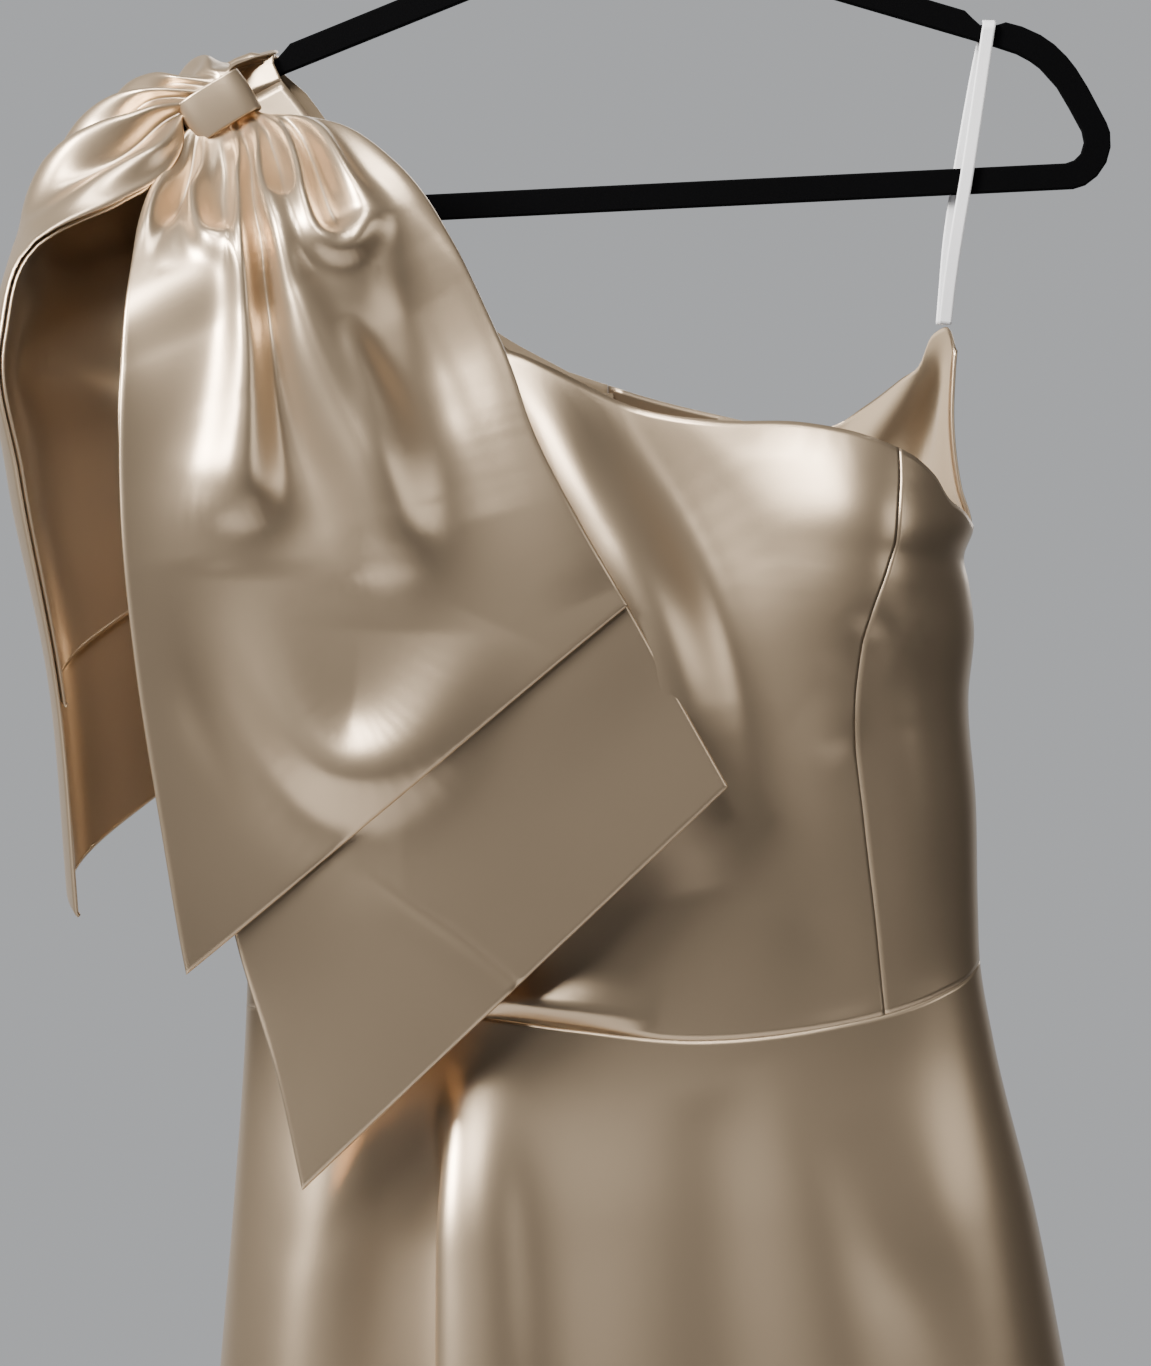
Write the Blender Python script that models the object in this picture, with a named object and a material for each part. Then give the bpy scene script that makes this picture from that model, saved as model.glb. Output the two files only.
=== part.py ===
"""One-shoulder satin dress with a large bow, hanging on a slim hanger.

X runs to the right as the dress is seen from the front, Y away from the viewer and Z up.
The origin is the inner top of the hanger's hook. Tables are in millimetres.
"""

import math

import bmesh
import bpy
import numpy as np
from mathutils import Matrix

# Driving sizes in millimetres
MM = 0.001
CLOTH = 1.6
BOW_CLOTH = 1.8
LAYER_GAP = 0.7
SEAM_GAP = 0.3
WAIST_GAP = 0.6
LINING_CLOTH = 1.2
LINING_DEPTH = 120.0
HEM_LEFT = -1336.0
HEM_RIGHT = -1322.0

# The dress as a tube: outline from the front, depth from the side, squareness from the top
BODY_SECTIONS = [
    (-140, -212, 215, 6, 6, 5.0),
    (-200, -205, 185, 17, 16, 4.5),
    (-260, -190, 161.5, 34, 25, 3.6),
    (-285, -184, 160, 40, 28, 3.2),
    (-320, -178, 160, 48, 32, 2.8),
    (-345, -173, 162.5, 55, 34, 2.6),
    (-364, -169, 166.5, 60, 35, 2.5),
    (-377, -166, 162, 64, 36, 2.45),
    (-390, -165, 164.5, 68, 37, 2.4),
    (-410, -165.5, 167, 72, 37, 2.4),
    (-442, -165, 164.5, 72, 36, 2.4),
    (-491, -166, 168, 66, 35, 2.4),
    (-540, -168, 169, 61, 36, 2.4),
    (-565, -169.5, 170, 60, 37, 2.4),
    (-600, -171, 176, 60, 38, 2.35),
    (-680, -176.5, 195.5, 68, 45, 2.3),
    (-753, -182.5, 209.5, 76, 52, 2.3),
    (-900, -194, 236, 90, 66, 2.3),
    (-1100, -209, 272, 103, 82, 2.3),
    (-1350, -227, 314, 115, 98, 2.3),
]

# Seams of the front, as the X of each seam at a height
PRINCESS_RIGHT = [
    (-300, 124), (-331, 126), (-355, 124.5), (-384, 119.5), (-403, 113.5), (-442, 108), (-500, 113),
    (-544, 118.5), (-620, 126),
]
PRINCESS_LEFT = [
    (-300, -158), (-340, -146), (-384, -123), (-442, -114), (-500, -119), (-544, -124), (-620, -133),
]
CENTRE_BACK = [(-250, -3), (-1400, 12)]

# Edges of the cloth, as X and Z from left to right
WAIST_FRONT = [
    (-171, -585), (-115, -584.5), (-60, -586.5), (-20, -591.5), (38, -597), (71, -595), (104, -590),
    (124, -586), (149, -577.5), (163.5, -570), (170, -563.5),
]
WAIST_BACK = [(-171, -585), (0, -580), (170, -563.5)]
ARMHOLE_FRONT = [(-166, -385), (-156, -362), (-146, -340)]
NECKLINE_FRONT = [
    (-146, -340), (-48, -284), (-31.6, -291), (-7.5, -302.5), (27.5, -314), (48, -316.5), (84, -318),
    (105, -323), (126, -331),
]
SIDE_TOP_FRONT = [
    (126, -331), (133, -334.4), (142.7, -342), (151.6, -353.5), (158, -356.5), (166.5, -364),
]
ARMHOLE_BACK = [(-166, -385), (-157, -355), (-152, -325)]
NECKLINE_BACK_LEFT = [(-152, -325), (-21, -289), (-3, -295)]
NECKLINE_BACK_RIGHT = [
    (-3, -295), (13, -300), (51, -309.5), (85, -316), (100, -315.5), (120, -305.5), (136, -294),
    (143, -288.5), (150, -272.5), (154.7, -270), (160, -281),
]

# Strap edges, from the bodice up to the shoulder seam or to the top of the hanger arm
STRAP_FRONT_OUTER = [(-146, -340), (-150, -300), (-163, -250), (-180, -205), (-193, -178)]
STRAP_FRONT_NECK = [
    (-48, -284), (-79.6, -256), (-105, -225.6), (-126, -195), (-140.5, -173.5), (-153.6, -157),
]
STRAP_BACK_OUTER = [(-152, -325), (-158, -270), (-178, -210), (-193, -172)]
STRAP_BACK_NECK = [(-21, -289), (-55, -270), (-88, -240), (-115, -205), (-134, -173), (-149, -153)]
STRAP_TOP = (-193, -157.5)
ARM_SIDE_CLEARANCE = 1.0
ARM_TOP_CLEARANCE = 4.0
ARM_TOP_DROP = 2.2

# Pull of the ribbon on the right back: a peak that comes forward, one ridge and one valley
PEAK = (154.7, -270.0)
PEAK_PULL = 0.75
PEAK_REACH = 45.0
PEAK_FOLDS = [
    # end x, end z, inward, half width
    (112, -330, 4.5, 9), (135, -345, -3.5, 8), (150, -360, 2.0, 7),
]
PEAK_FOLD_START = 22.0

# The pleat of the skirt: the right cloth rolls over the left
PLEAT_X = -78.0
PLEAT_STEPS = (-60, -42, -30, -22, -15, -10, -6, -2, 2, 6, 10, 15, 22, 30, 42, 60)
PLEAT_ROLL = 20.0
PLEAT_ROLL_WIDTH = 14.0
PLEAT_HEIGHT = 24.0
PLEAT_HEIGHT_WIDTH = 24.0
PLEAT_TOP = -592.0
PLEAT_FULL = -690.0

# Soft waves of the skirt, growing from the waist to the hem
SKIRT_WAVE = 9.0
SKIRT_WAVES_FRONT = 3.5
SKIRT_WAVES_BACK = 3.0

# Bow: four guide lines run along both strips, from the side tails through the knot to the front tails.
# along 0 is the knot, below 0 the side tails, above 0 the front tails.
BOW_SECTIONS = [
    # along, first edge (x, y, z), second line, third line, last edge
    (-1.25, (-240, -86, -540), (-244, -44, -510), (-219, 2, -478), (-186, 60, -440)),
    (-1.00, (-248, -84, -447), (-251, -42, -420), (-224, 4, -388), (-188, 62, -350)),
    (-0.70, (-266, -88, -345), (-270, -44, -335), (-241, 8, -310), (-193, 60, -285)),
    (-0.45, (-274, -88, -282), (-279, -45, -265), (-255, 12, -245), (-186, 52, -215)),
    (-0.30, (-260, -78, -238), (-270, -40, -226), (-252, 12, -198), (-174, 38, -166)),
    (-0.19, (-232, -59, -212), (-249, -29, -192), (-232, 4, -163), (-164, 17, -141)),
    (-0.11, (-215, -42, -189), (-224, -28, -173), (-208, -12, -153), (-166, -3, -136)),
    (-0.07, (-205.5, -29, -172), (-208, -27, -165), (-197, -21, -154), (-174, -14, -145)),
    (-0.04, (-197.4, -26, -167.8), (-191, -26.5, -163.7), (-184.3, -26.5, -159.7), (-177.8, -26, -155.6)),
    (0.00, (-191.3, -26, -177.6), (-184.7, -26.5, -173.5), (-178.2, -26.5, -169.5), (-171.7, -26, -165.4)),
    (0.04, (-185.2, -26, -187.4), (-178.7, -26.5, -183.3), (-172.2, -26.5, -179.3), (-165.6, -26, -175.2)),
    (0.08, (-194, -33, -201), (-180, -37, -198), (-165, -37, -189), (-149, -31, -178)),
    (0.14, (-211, -42, -223), (-183, -50, -216), (-154, -46, -202), (-123, -34, -184)),
    (0.21, (-219, -50, -250), (-181, -64, -240), (-141, -56, -224), (-99, -40, -202)),
    (0.32, (-222, -57, -294), (-177, -78, -279), (-128, -68, -258), (-75, -51, -236)),
    (0.46, (-222, -64, -352), (-169, -92, -333), (-110, -82, -310), (-52, -64, -282)),
    (0.65, (-215, -70, -426), (-155, -98, -398), (-95, -90, -368), (-36, -74, -326)),
    (0.83, (-203, -76, -500), (-140, -96, -457), (-78, -91, -411), (-15, -80, -366)),
    (1.00, (-191, -80, -566), (-125, -92, -511), (-60, -90, -456), (6, -83, -401)),
    (1.20, (-174, -81, -631), (-106, -88, -568), (-39, -87, -505), (28.5, -82, -442)),
    (1.35, (-163, -82, -684), (-92, -86, -617), (-20, -85, -549), (51, -80, -482)),
]
BOW_GATHERS = 8
GATHER_AT_KNOT = 0.7
GATHER_PEAK = 3.6
GATHER_START = 0.05
GATHER_PEAK_AT = 0.16
GATHER_REACH = 0.30
SIDE_REACH = 0.22
BOW_FOLDS = [
    # where across the strip, half width, height, start along, end along
    (0.46, 0.045, -9.0, 0.04, 0.50),
    (0.28, 0.060, 5.0, 0.04, 0.75),
    (0.60, 0.060, 6.0, 0.04, 1.00),
    (0.78, 0.070, -6.0, 0.05, 0.60),
    (0.90, 0.060, 4.0, 0.05, 0.90),
]
# Strips: start along, end along, first edge of the front tail, depth behind the guide
UPPER_STRIP = (-1.25, 1.00, 0.0, 0.0)
LOWER_STRIP = (-1.00, 1.35, 0.11, BOW_CLOTH + LAYER_GAP)
BOW_ACROSS_STEPS = 32
NARROWED_STEPS = 6
BOW_STATIONS = (
    -1.25, -1.12, -1.0, -0.82, -0.66, -0.52, -0.40, -0.30, -0.22, -0.15, -0.10, -0.065, -0.035, 0.0,
    0.035, 0.065, 0.10, 0.15, 0.21, 0.28, 0.37, 0.48, 0.62, 0.80, 1.0, 1.18, 1.35,
)

# Knot band
KNOT_CENTRE = (-181.5, -24.0, -171.5)
KNOT_TURN = math.radians(32)
KNOT_HALF_LENGTH = 17.5
KNOT_HALF_DEPTH = 8.6
KNOT_WALL = 1.6
KNOT_WIDTH = 21.0

# Ribbon loop: places down the front strand, over the arm and down the back strand
RIBBON_WIDTH = 6.0
RIBBON_CLOTH = 1.0
RIBBON_PATH = [
    (154.0, 1.2, -268.8), (156.0, -1.5, -250), (159.0, -3.9, -228), (164.0, -4.4, -198),
    (170.0, -4.3, -158), (173.0, -4.2, -137), (174.0, -3.9, -130.8), (174.2, 0.0, -128.2),
    (174.0, 3.9, -130.8),
    (172.2, 4.2, -137), (168.0, 4.3, -158), (161.0, 4.3, -198), (156.5, 4.2, -228), (154.5, 4.2, -250),
    (153.0, 4.1, -268.8),
]

# Hanger in its own level frame, right half, before its tilt
HANGER_TILT = math.radians(2.8)
HANGER_THICKNESS = 5.0
HANGER_OUTLINE = [
    (0, -74), (8, -76.5), (20, -83.2), (80, -104.3), (139.4, -125.2), (156.8, -131.3), (160, -134.8),
    (163.5, -138.3), (168.8, -139.1), (172.5, -138.4), (175.5, -137.6), (183, -140), (191.4, -144.3),
    (197.5, -149), (202.9, -154.8), (207, -160.5), (212, -169.5), (220, -186.5), (221.4, -191),
    (221.3, -198), (219, -205), (214.5, -211), (209, -214.8), (203.3, -216.3),
]
HANGER_HOLE = [
    (0, -87), (12, -93.5), (60, -110.3), (97.2, -123.2), (167.5, -147.6), (180, -152.4), (186, -156),
    (190.5, -159.7), (197.9, -168.8), (203, -178.5), (208.4, -189.7), (209.2, -195), (207.5, -200),
    (204, -203.2), (200, -204.4),
]
HOOK_INNER_RADIUS = 17.0
HOOK_WIRE = 3.6
HOOK_STEM_FOOT = -73.4

# Zip strip in the centre back seam
ZIP_WIDTH = 5.0
ZIP_CLOTH = 1.2
ZIP_FOOT = -740.0

SATIN = ("satin", (0.62, 0.50, 0.38, 1), 0.38, 0.35)
SATIN_BOW = ("bow satin", (0.64, 0.52, 0.40, 1), 0.36, 0.35)
LINING = ("lining", (0.76, 0.60, 0.42, 1), 0.75, 0.0)
RIBBON = ("ribbon", (0.90, 0.90, 0.92, 1), 0.45, 0.0)
FLOCK = ("hanger flock", (0.008, 0.008, 0.009, 1), 0.95, 0.0)
METAL = ("hook metal", (0.70, 0.70, 0.72, 1), 0.25, 1.0)


def smooth(value):
    """Ease from 0 to 1."""
    clipped = np.clip(value, 0.0, 1.0)
    return clipped * clipped * (3 - 2 * clipped)


def curve_through(table, at):
    """Smooth curve through rows whose first column is the place along it."""
    rows = np.array(sorted(table), float)
    place, values = rows[:, 0], rows[:, 1:]
    slope = np.gradient(values, place, axis=0)
    at = np.clip(np.asarray(at, float), place[0], place[-1])
    row = np.clip(np.searchsorted(place, at) - 1, 0, len(place) - 2)
    step = place[row + 1] - place[row]
    t = (at - place[row]) / step
    t, step = t[..., None], step[..., None]
    start = (2 * t**3 - 3 * t**2 + 1) * values[row] + (t**3 - 2 * t**2 + t) * step * slope[row]
    end = (3 * t**2 - 2 * t**3) * values[row + 1] + (t**3 - t**2) * step * slope[row + 1]
    return start + end


def along_line(points, count=400):
    """Evenly spaced points on a line through the given points."""
    points = np.array(points, float)
    reach = np.concatenate([[0], np.cumsum(np.linalg.norm(np.diff(points, axis=0), axis=1))])
    at = np.linspace(0, reach[-1], count)
    return np.stack([np.interp(at, reach, points[:, k]) for k in range(points.shape[1])], axis=1)


def body_at(z):
    """Centre, half width, front depth, back depth and squareness of the tube at a height."""
    left, right, front, back, power = np.moveaxis(curve_through(BODY_SECTIONS, z), -1, 0)
    return (left + right) / 2, (right - left) / 2, front, back, power


def angle_of(x, z):
    """Angle round the tube of a point given by X and Z: 0 at the right side, pi at the left."""
    centre, half, _, _, power = body_at(z)
    side = np.clip((x - centre) / half, -1, 1)
    return np.arccos(np.sign(side) * np.abs(side) ** (power / 2))


def tube_point(angle, z, is_front):
    """Point of the tube and its outward normal."""
    centre, half, front, back, power = body_at(z)
    depth = np.where(is_front, front, back)
    turn = np.where(is_front, -1.0, 1.0)
    across = np.sign(np.cos(angle)) * np.abs(np.cos(angle)) ** (2 / power)
    out = np.abs(np.sin(angle)) ** (2 / power)
    x, y = centre + half * across, turn * depth * out
    rows = [np.sign(across) * np.abs(across) ** (power - 1) / half, turn * out ** (power - 1) / depth]
    higher, lower = body_at(z + 2), body_at(z - 2)
    lean_x = (higher[0] + higher[1] * across - lower[0] - lower[1] * across) / 4
    depth_change = (np.where(is_front, higher[2] - lower[2], higher[3] - lower[3])) / 4
    lean_y = turn * depth_change * out
    normal = np.stack([rows[0], rows[1], -(rows[0] * lean_x + rows[1] * lean_y)], axis=-1)
    normal /= np.linalg.norm(normal, axis=-1, keepdims=True)
    return np.stack([x, y, z], axis=-1), normal


def seam_angle(seam, z):
    """Angle of a seam that is given by its X at each height."""
    return angle_of(curve_through(seam, z)[..., 0], z)


def panel(left_seam, right_seam, bottom, top, columns, rows, is_front):
    """Grid of a bodice or skirt panel between two seams, from its bottom edge to its top edge."""
    def across_of(line):
        line = along_line(line)
        left, right = left_seam(line[:, 1]), right_seam(line[:, 1])
        return (angle_of(line[:, 0], line[:, 1]) - left) / (right - left), line[:, 1]

    place, height = across_of(bottom)
    low = np.interp(columns, place, height)
    place, height = across_of(top)
    high = np.interp(columns, place, height)
    rise = np.asarray(rows)[:, None]
    z = low[None, :] * (1 - rise) + high[None, :] * rise
    angle = left_seam(z) * (1 - columns[None, :]) + right_seam(z) * columns[None, :]
    return tube_point(angle, z, is_front)


def strap(bottom_row, outer_edge, neck_edge, rows, is_front):
    """Rows of the strap above a panel's top row."""
    first, last = bottom_row[0], bottom_row[-1]
    across = (bottom_row[:, 0] - first[0]) / (last[0] - first[0])
    outer, neck = along_line(outer_edge), along_line(neck_edge)
    step = np.asarray(rows) * (len(outer) - 1)
    index = np.arange(len(outer))
    left = np.stack([np.interp(step, index, outer[:, k]) for k in (0, 1)], axis=1)[:, None, :]
    right = np.stack([np.interp(step, index, neck[:, k]) for k in (0, 1)], axis=1)[:, None, :]
    flat = left * (1 - across[None, :, None]) + right * across[None, :, None]
    return tube_point(angle_of(flat[..., 0], flat[..., 1]), flat[..., 1], is_front)


class Cloth:
    """A wall of cloth built up from grids of outer points and inner points."""

    def __init__(self):
        self.outer, self.inner, self.quads = [], [], []

    def add(self, outer, inner, shared_row=None):
        """Add a grid. shared_row gives the numbers of points that it starts from."""
        rows, columns = outer.shape[:2]
        numbers = np.full((rows, columns), -1)
        first = 0
        if shared_row is not None:
            numbers[0] = shared_row
            first = 1
        for row in range(first, rows):
            for column in range(columns):
                numbers[row, column] = len(self.outer)
                self.outer.append(outer[row, column])
                self.inner.append(inner[row, column])
        for row in range(rows - 1):
            for column in range(columns - 1):
                self.quads.append((
                    numbers[row, column], numbers[row, column + 1],
                    numbers[row + 1, column + 1], numbers[row + 1, column],
                ))
        return numbers

    def build(self, name, look):
        """Make the closed mesh: outer faces, inner faces and a rim round every free edge."""
        count = len(self.outer)
        edges = {}
        for quad in self.quads:
            for start, end in zip(quad, quad[1:] + quad[:1]):
                edges[(start, end)] = True
        faces = [tuple(quad) for quad in self.quads]
        faces += [tuple(count + point for point in reversed(quad)) for quad in self.quads]
        for start, end in edges:
            if (end, start) not in edges:
                faces.append((end, start, count + start, count + end))
        points = np.array(self.outer + self.inner) * MM
        return mesh_object(name, points, faces, look)


def mesh_object(name, points, faces, look):
    """Object from points and faces, with its faces turned outward."""
    mesh = bpy.data.meshes.new(name)
    corners = [tuple(int(index) for index in face) for face in faces]
    mesh.from_pydata([tuple(point) for point in points], [], corners)
    shape = bmesh.new()
    shape.from_mesh(mesh)
    bmesh.ops.triangulate(shape, faces=shape.faces)
    bmesh.ops.recalc_face_normals(shape, faces=shape.faces)
    if shape.calc_volume(signed=True) < 0:
        bmesh.ops.reverse_faces(shape, faces=shape.faces)
    shape.to_mesh(mesh)
    shape.free()
    mesh.shade_smooth()
    mesh.set_sharp_from_angle(angle=math.radians(50))
    return finished(bpy.data.objects.new(name, mesh), look)


def material(look):
    """Principled material from a name, colour, roughness and metallic value."""
    name, colour, roughness, metallic = look
    found = bpy.data.materials.get(name)
    if found:
        return found
    made = bpy.data.materials.new(name)
    made.use_nodes = True
    shader = made.node_tree.nodes["Principled BSDF"]
    shader.inputs["Base Color"].default_value = colour
    shader.inputs["Roughness"].default_value = roughness
    shader.inputs["Metallic"].default_value = metallic
    made.diffuse_color = colour
    return made


def finished(thing, look):
    """Put an object in the dress's collection with its own material."""
    own = material((f"{thing.name} {look[0]}",) + look[1:])
    thing.data.materials.append(own)
    bpy.data.collections["One-shoulder dress"].objects.link(thing)
    return thing


def trimmed(outer, inner, left=0.0, right=0.0, bottom=0.0, top=0.0):
    """Draw the edges of a grid in, so that neighbours stay a seam's gap apart."""
    outer, inner = outer.copy(), inner.copy()
    moves = [
        ((slice(None), 0), (slice(None), 1), left), ((slice(None), -1), (slice(None), -2), right),
        ((0, slice(None)), (1, slice(None)), bottom), ((-1, slice(None)), (-2, slice(None)), top),
    ]
    for edge, next_line, amount in moves:
        if amount:
            way = outer[next_line] - outer[edge]
            way /= np.linalg.norm(way, axis=-1, keepdims=True)
            outer[edge] += way * amount
            inner[edge] += way * amount
    return outer, inner


def left_side(z):
    return np.full(np.shape(z), math.pi)


def right_side(z):
    return np.zeros(np.shape(z))


def left_princess(z):
    return seam_angle(PRINCESS_LEFT, z)


def right_princess(z):
    return seam_angle(PRINCESS_RIGHT, z)


def centre_back(z):
    return seam_angle(CENTRE_BACK, z)


def steps_with(place, before, after):
    """Even steps from 0 to place, then from place to 1."""
    return np.concatenate([np.linspace(0, place, before + 1), np.linspace(place, 1, after + 1)[1:]])


def across_at(point, left_seam, right_seam):
    """Fraction between two seams of a point given by X and Z."""
    x, z = np.array([point[0]], float), np.array([point[1]], float)
    left, right = left_seam(z), right_seam(z)
    return float(((angle_of(x, z) - left) / (right - left))[0])


def peak_shape(points, normals):
    """Right back drawn forward and folded by the ribbon that pulls on its peak."""
    x, z = points[..., 0], points[..., 2]
    distance = np.hypot(x - PEAK[0], z - PEAK[1])
    points = points.copy()
    points[..., 1] *= 1 - PEAK_PULL * np.exp(-(distance / PEAK_REACH) ** 2)
    for end_x, end_z, inward, half_width in PEAK_FOLDS:
        way = np.array([end_x - PEAK[0], end_z - PEAK[1]])
        length = np.linalg.norm(way)
        way = way / length
        run = (x - PEAK[0]) * way[0] + (z - PEAK[1]) * way[1]
        off = (x - PEAK[0]) * way[1] - (z - PEAK[1]) * way[0]
        fade = smooth(run / PEAK_FOLD_START) * (1 - smooth((run - 0.6 * length) / (0.9 * length)))
        points -= normals * (inward * fade * np.exp(-(off / half_width) ** 2))[..., None]
    return points


def front_panels():
    """Centre front with the front of the strap, and the two side fronts."""
    half_gap = SEAM_GAP / 2
    rows = np.linspace(0, 1, 12)
    turn_column = across_at(NECKLINE_FRONT[1], left_princess, right_princess)
    columns = steps_with(turn_column, 6, 9)
    outer, normals = panel(left_princess, right_princess, WAIST_FRONT, NECKLINE_FRONT, columns, rows, True)
    inner = outer - normals * CLOTH
    outer, inner = trimmed(outer, inner, half_gap, half_gap, WAIST_GAP / 2)
    cloth = Cloth()
    numbers = cloth.add(outer, inner)
    strap_rows = np.linspace(0, 1, 7)
    high, high_normals = strap(outer[-1, :7], STRAP_FRONT_OUTER, STRAP_FRONT_NECK, strap_rows, True)
    cloth.add(high, high - high_normals * CLOTH, numbers[-1, :7])
    cloth.build("front_centre", SATIN)
    sides = [
        ("front_side_left", left_side, left_princess, ARMHOLE_FRONT),
        ("front_side_right", right_princess, right_side, SIDE_TOP_FRONT),
    ]
    for name, left_seam, right_seam, top in sides:
        outer, normals = panel(left_seam, right_seam, WAIST_FRONT, top, np.linspace(0, 1, 8), rows, True)
        outer, inner = trimmed(outer, outer - normals * CLOTH, half_gap, half_gap, WAIST_GAP / 2)
        cloth = Cloth()
        cloth.add(outer, inner)
        cloth.build(name, SATIN)


def tilted(outline):
    """Points of the level hanger, given by X and Z, as it hangs."""
    x, z = np.array(outline, float).T
    cosine, sine = math.cos(HANGER_TILT), math.sin(HANGER_TILT)
    return np.stack([x * cosine - z * sine, x * sine + z * cosine], axis=1)


def arm_strap(across):
    """Strap over the hanger arm: rows from the back, over the top, to the shoulder seam in front."""
    arm = HANGER_THICKNESS / 2
    top_x = STRAP_TOP[0] * (1 - across) + STRAP_TOP[1] * across
    arm_top = tilted([(-x, z) for x, z in reversed(HANGER_OUTLINE[:-4])])
    top_z = np.interp(top_x, arm_top[:, 0], arm_top[:, 1])
    seam_x = STRAP_FRONT_OUTER[-1][0] * (1 - across) + STRAP_FRONT_NECK[-1][0] * across
    seam_z = STRAP_FRONT_OUTER[-1][1] * (1 - across) + STRAP_FRONT_NECK[-1][1] * across
    seam_point, seam_normal = tube_point(angle_of(seam_x, seam_z), seam_z, True)
    side_inner = arm + ARM_SIDE_CLEARANCE
    side_outer = side_inner + CLOTH
    outer, inner = [], []
    for degrees in (0, 45, 90, 135, 180):
        turn = math.radians(degrees)
        for rows, reach in ((outer, side_outer), (inner, side_inner)):
            y = np.full(across.shape, reach * math.cos(turn))
            z = top_z - ARM_TOP_DROP + (reach - side_inner + ARM_TOP_CLEARANCE) * math.sin(turn)
            rows.append(np.stack([top_x, y, z], axis=1))
    outer.append(seam_point + np.array([0, 0, SEAM_GAP]))
    inner.append(seam_point - seam_normal * CLOTH + np.array([0, 0, SEAM_GAP]))
    return np.array(outer), np.array(inner)


def back_panels():
    """Two halves of the back, the lining of the right half and the zip between the halves."""
    half_gap = SEAM_GAP / 2
    rows = np.linspace(0, 1, 11)
    turn_column = across_at(NECKLINE_BACK_LEFT[1], left_side, centre_back)
    top = ARMHOLE_BACK[:-1] + NECKLINE_BACK_LEFT
    shoulder = across_at(ARMHOLE_BACK[-1], left_side, centre_back)
    columns = np.concatenate([[0, shoulder / 2], np.linspace(shoulder, turn_column, 7), [1]])
    outer, normals = panel(left_side, centre_back, WAIST_BACK, top, columns, rows, False)
    outer, inner = trimmed(outer, outer - normals * CLOTH, half_gap, half_gap, WAIST_GAP / 2)
    cloth = Cloth()
    numbers = cloth.add(outer, inner)
    strap_rows = np.linspace(0, 0.95, 7)
    high, high_normals = strap(outer[-1, 2:9], STRAP_BACK_OUTER, STRAP_BACK_NECK, strap_rows, False)
    across = np.linspace(0, 1, 7)
    over_outer, over_inner = arm_strap(across)
    strap_outer = np.concatenate([high, over_outer])
    strap_inner = np.concatenate([high - high_normals * CLOTH, over_inner])
    cloth.add(strap_outer, strap_inner, numbers[-1, 2:9])
    cloth.build("back_left", SATIN)

    columns = np.linspace(0, 1, 15)
    rows = np.linspace(0, 1, 14)
    outer, normals = panel(centre_back, right_side, WAIST_BACK, NECKLINE_BACK_RIGHT, columns, rows, False)
    outer = peak_shape(outer, normals)
    inner = outer - normals * CLOTH
    cloth = Cloth()
    cloth.add(*trimmed(outer, inner, half_gap, half_gap, WAIST_GAP / 2))
    cloth.build("back_right", SATIN)
    lining_panel(outer, inner, normals)


def lining_panel(outer, inner, normals):
    """Lining of the right back, moved in from the panel's own points."""
    start = 2
    foot = 5
    near = inner[foot:, start:-1] - normals[foot:, start:-1] * SEAM_GAP
    far = near - normals[foot:, start:-1] * LINING_CLOTH
    near, far = trimmed(near, far, top=0.6)
    cloth = Cloth()
    cloth.add(near, far)
    cloth.build("back_lining", LINING)


def zip_strip():
    """Closed concealed zip behind the centre back seam, from the neckline past the waist."""
    z = np.linspace(NECKLINE_BACK_RIGHT[0][1] - 4, ZIP_FOOT, 12)
    middle, normal = tube_point(centre_back(z), z, False)
    middle = middle - normal * (CLOTH + 2 * SEAM_GAP)
    across = np.array([-ZIP_WIDTH / 2, ZIP_WIDTH / 2])
    near = np.stack([middle + np.array([offset, 0, 0]) for offset in across], axis=1)
    cloth = Cloth()
    cloth.add(near, near - normal[:, None, :] * ZIP_CLOTH)
    cloth.build("back_zip", LINING)


def pleat(points, normals, distance):
    """Roll the cloth right of the pleat over the cloth left of it."""
    z = points[..., 2]
    size = smooth((PLEAT_TOP - z) / (PLEAT_TOP - PLEAT_FULL))
    roll = distance / PLEAT_ROLL_WIDTH
    rise = distance / PLEAT_HEIGHT_WIDTH
    shift = -PLEAT_ROLL * roll * np.exp(-roll**2) * size
    height = PLEAT_HEIGHT * rise * np.exp(-rise**2) * size
    points = points.copy()
    points[..., 0] += shift
    return points + normals * height[..., None]


def skirt_waves(points, normals, angle, waves):
    """Soft waves that grow towards the hem and vanish at the side seams."""
    fall = smooth((-600 - points[..., 2]) / 700)
    wave = np.cos(2 * waves * (angle - math.pi / 2)) * np.sin(angle) ** 2
    return points + normals * (SKIRT_WAVE * fall * wave)[..., None]


def hem_height(x):
    return HEM_LEFT + (HEM_RIGHT - HEM_LEFT) * (x + 227) / (227 + 314)


def skirt_grid(waist, angles_at, rows, is_front):
    """Grid of a skirt panel. angles_at gives the angle of each column at each height."""
    line = along_line(waist)
    top = np.full(angles_at(np.full(1, -590.0)).shape[1], -590.0)
    for _ in range(4):
        top_angle = np.diagonal(angles_at(top))
        top = np.interp(tube_point(top_angle, top, is_front)[0][:, 0], line[:, 0], line[:, 1])
    low_angle = angles_at(np.full(1, -1330.0))[0]
    low, _ = tube_point(low_angle, np.full(low_angle.shape, -1330.0), is_front)
    fall = np.asarray(rows)[:, None]
    z = hem_height(low[:, 0])[None, :] * (1 - fall) + top[None, :] * fall
    angle = np.stack([angles_at(z[:, k])[:, k] for k in range(z.shape[1])], axis=1)
    points, normals = tube_point(angle, z, is_front)
    return points, normals, angle


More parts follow.
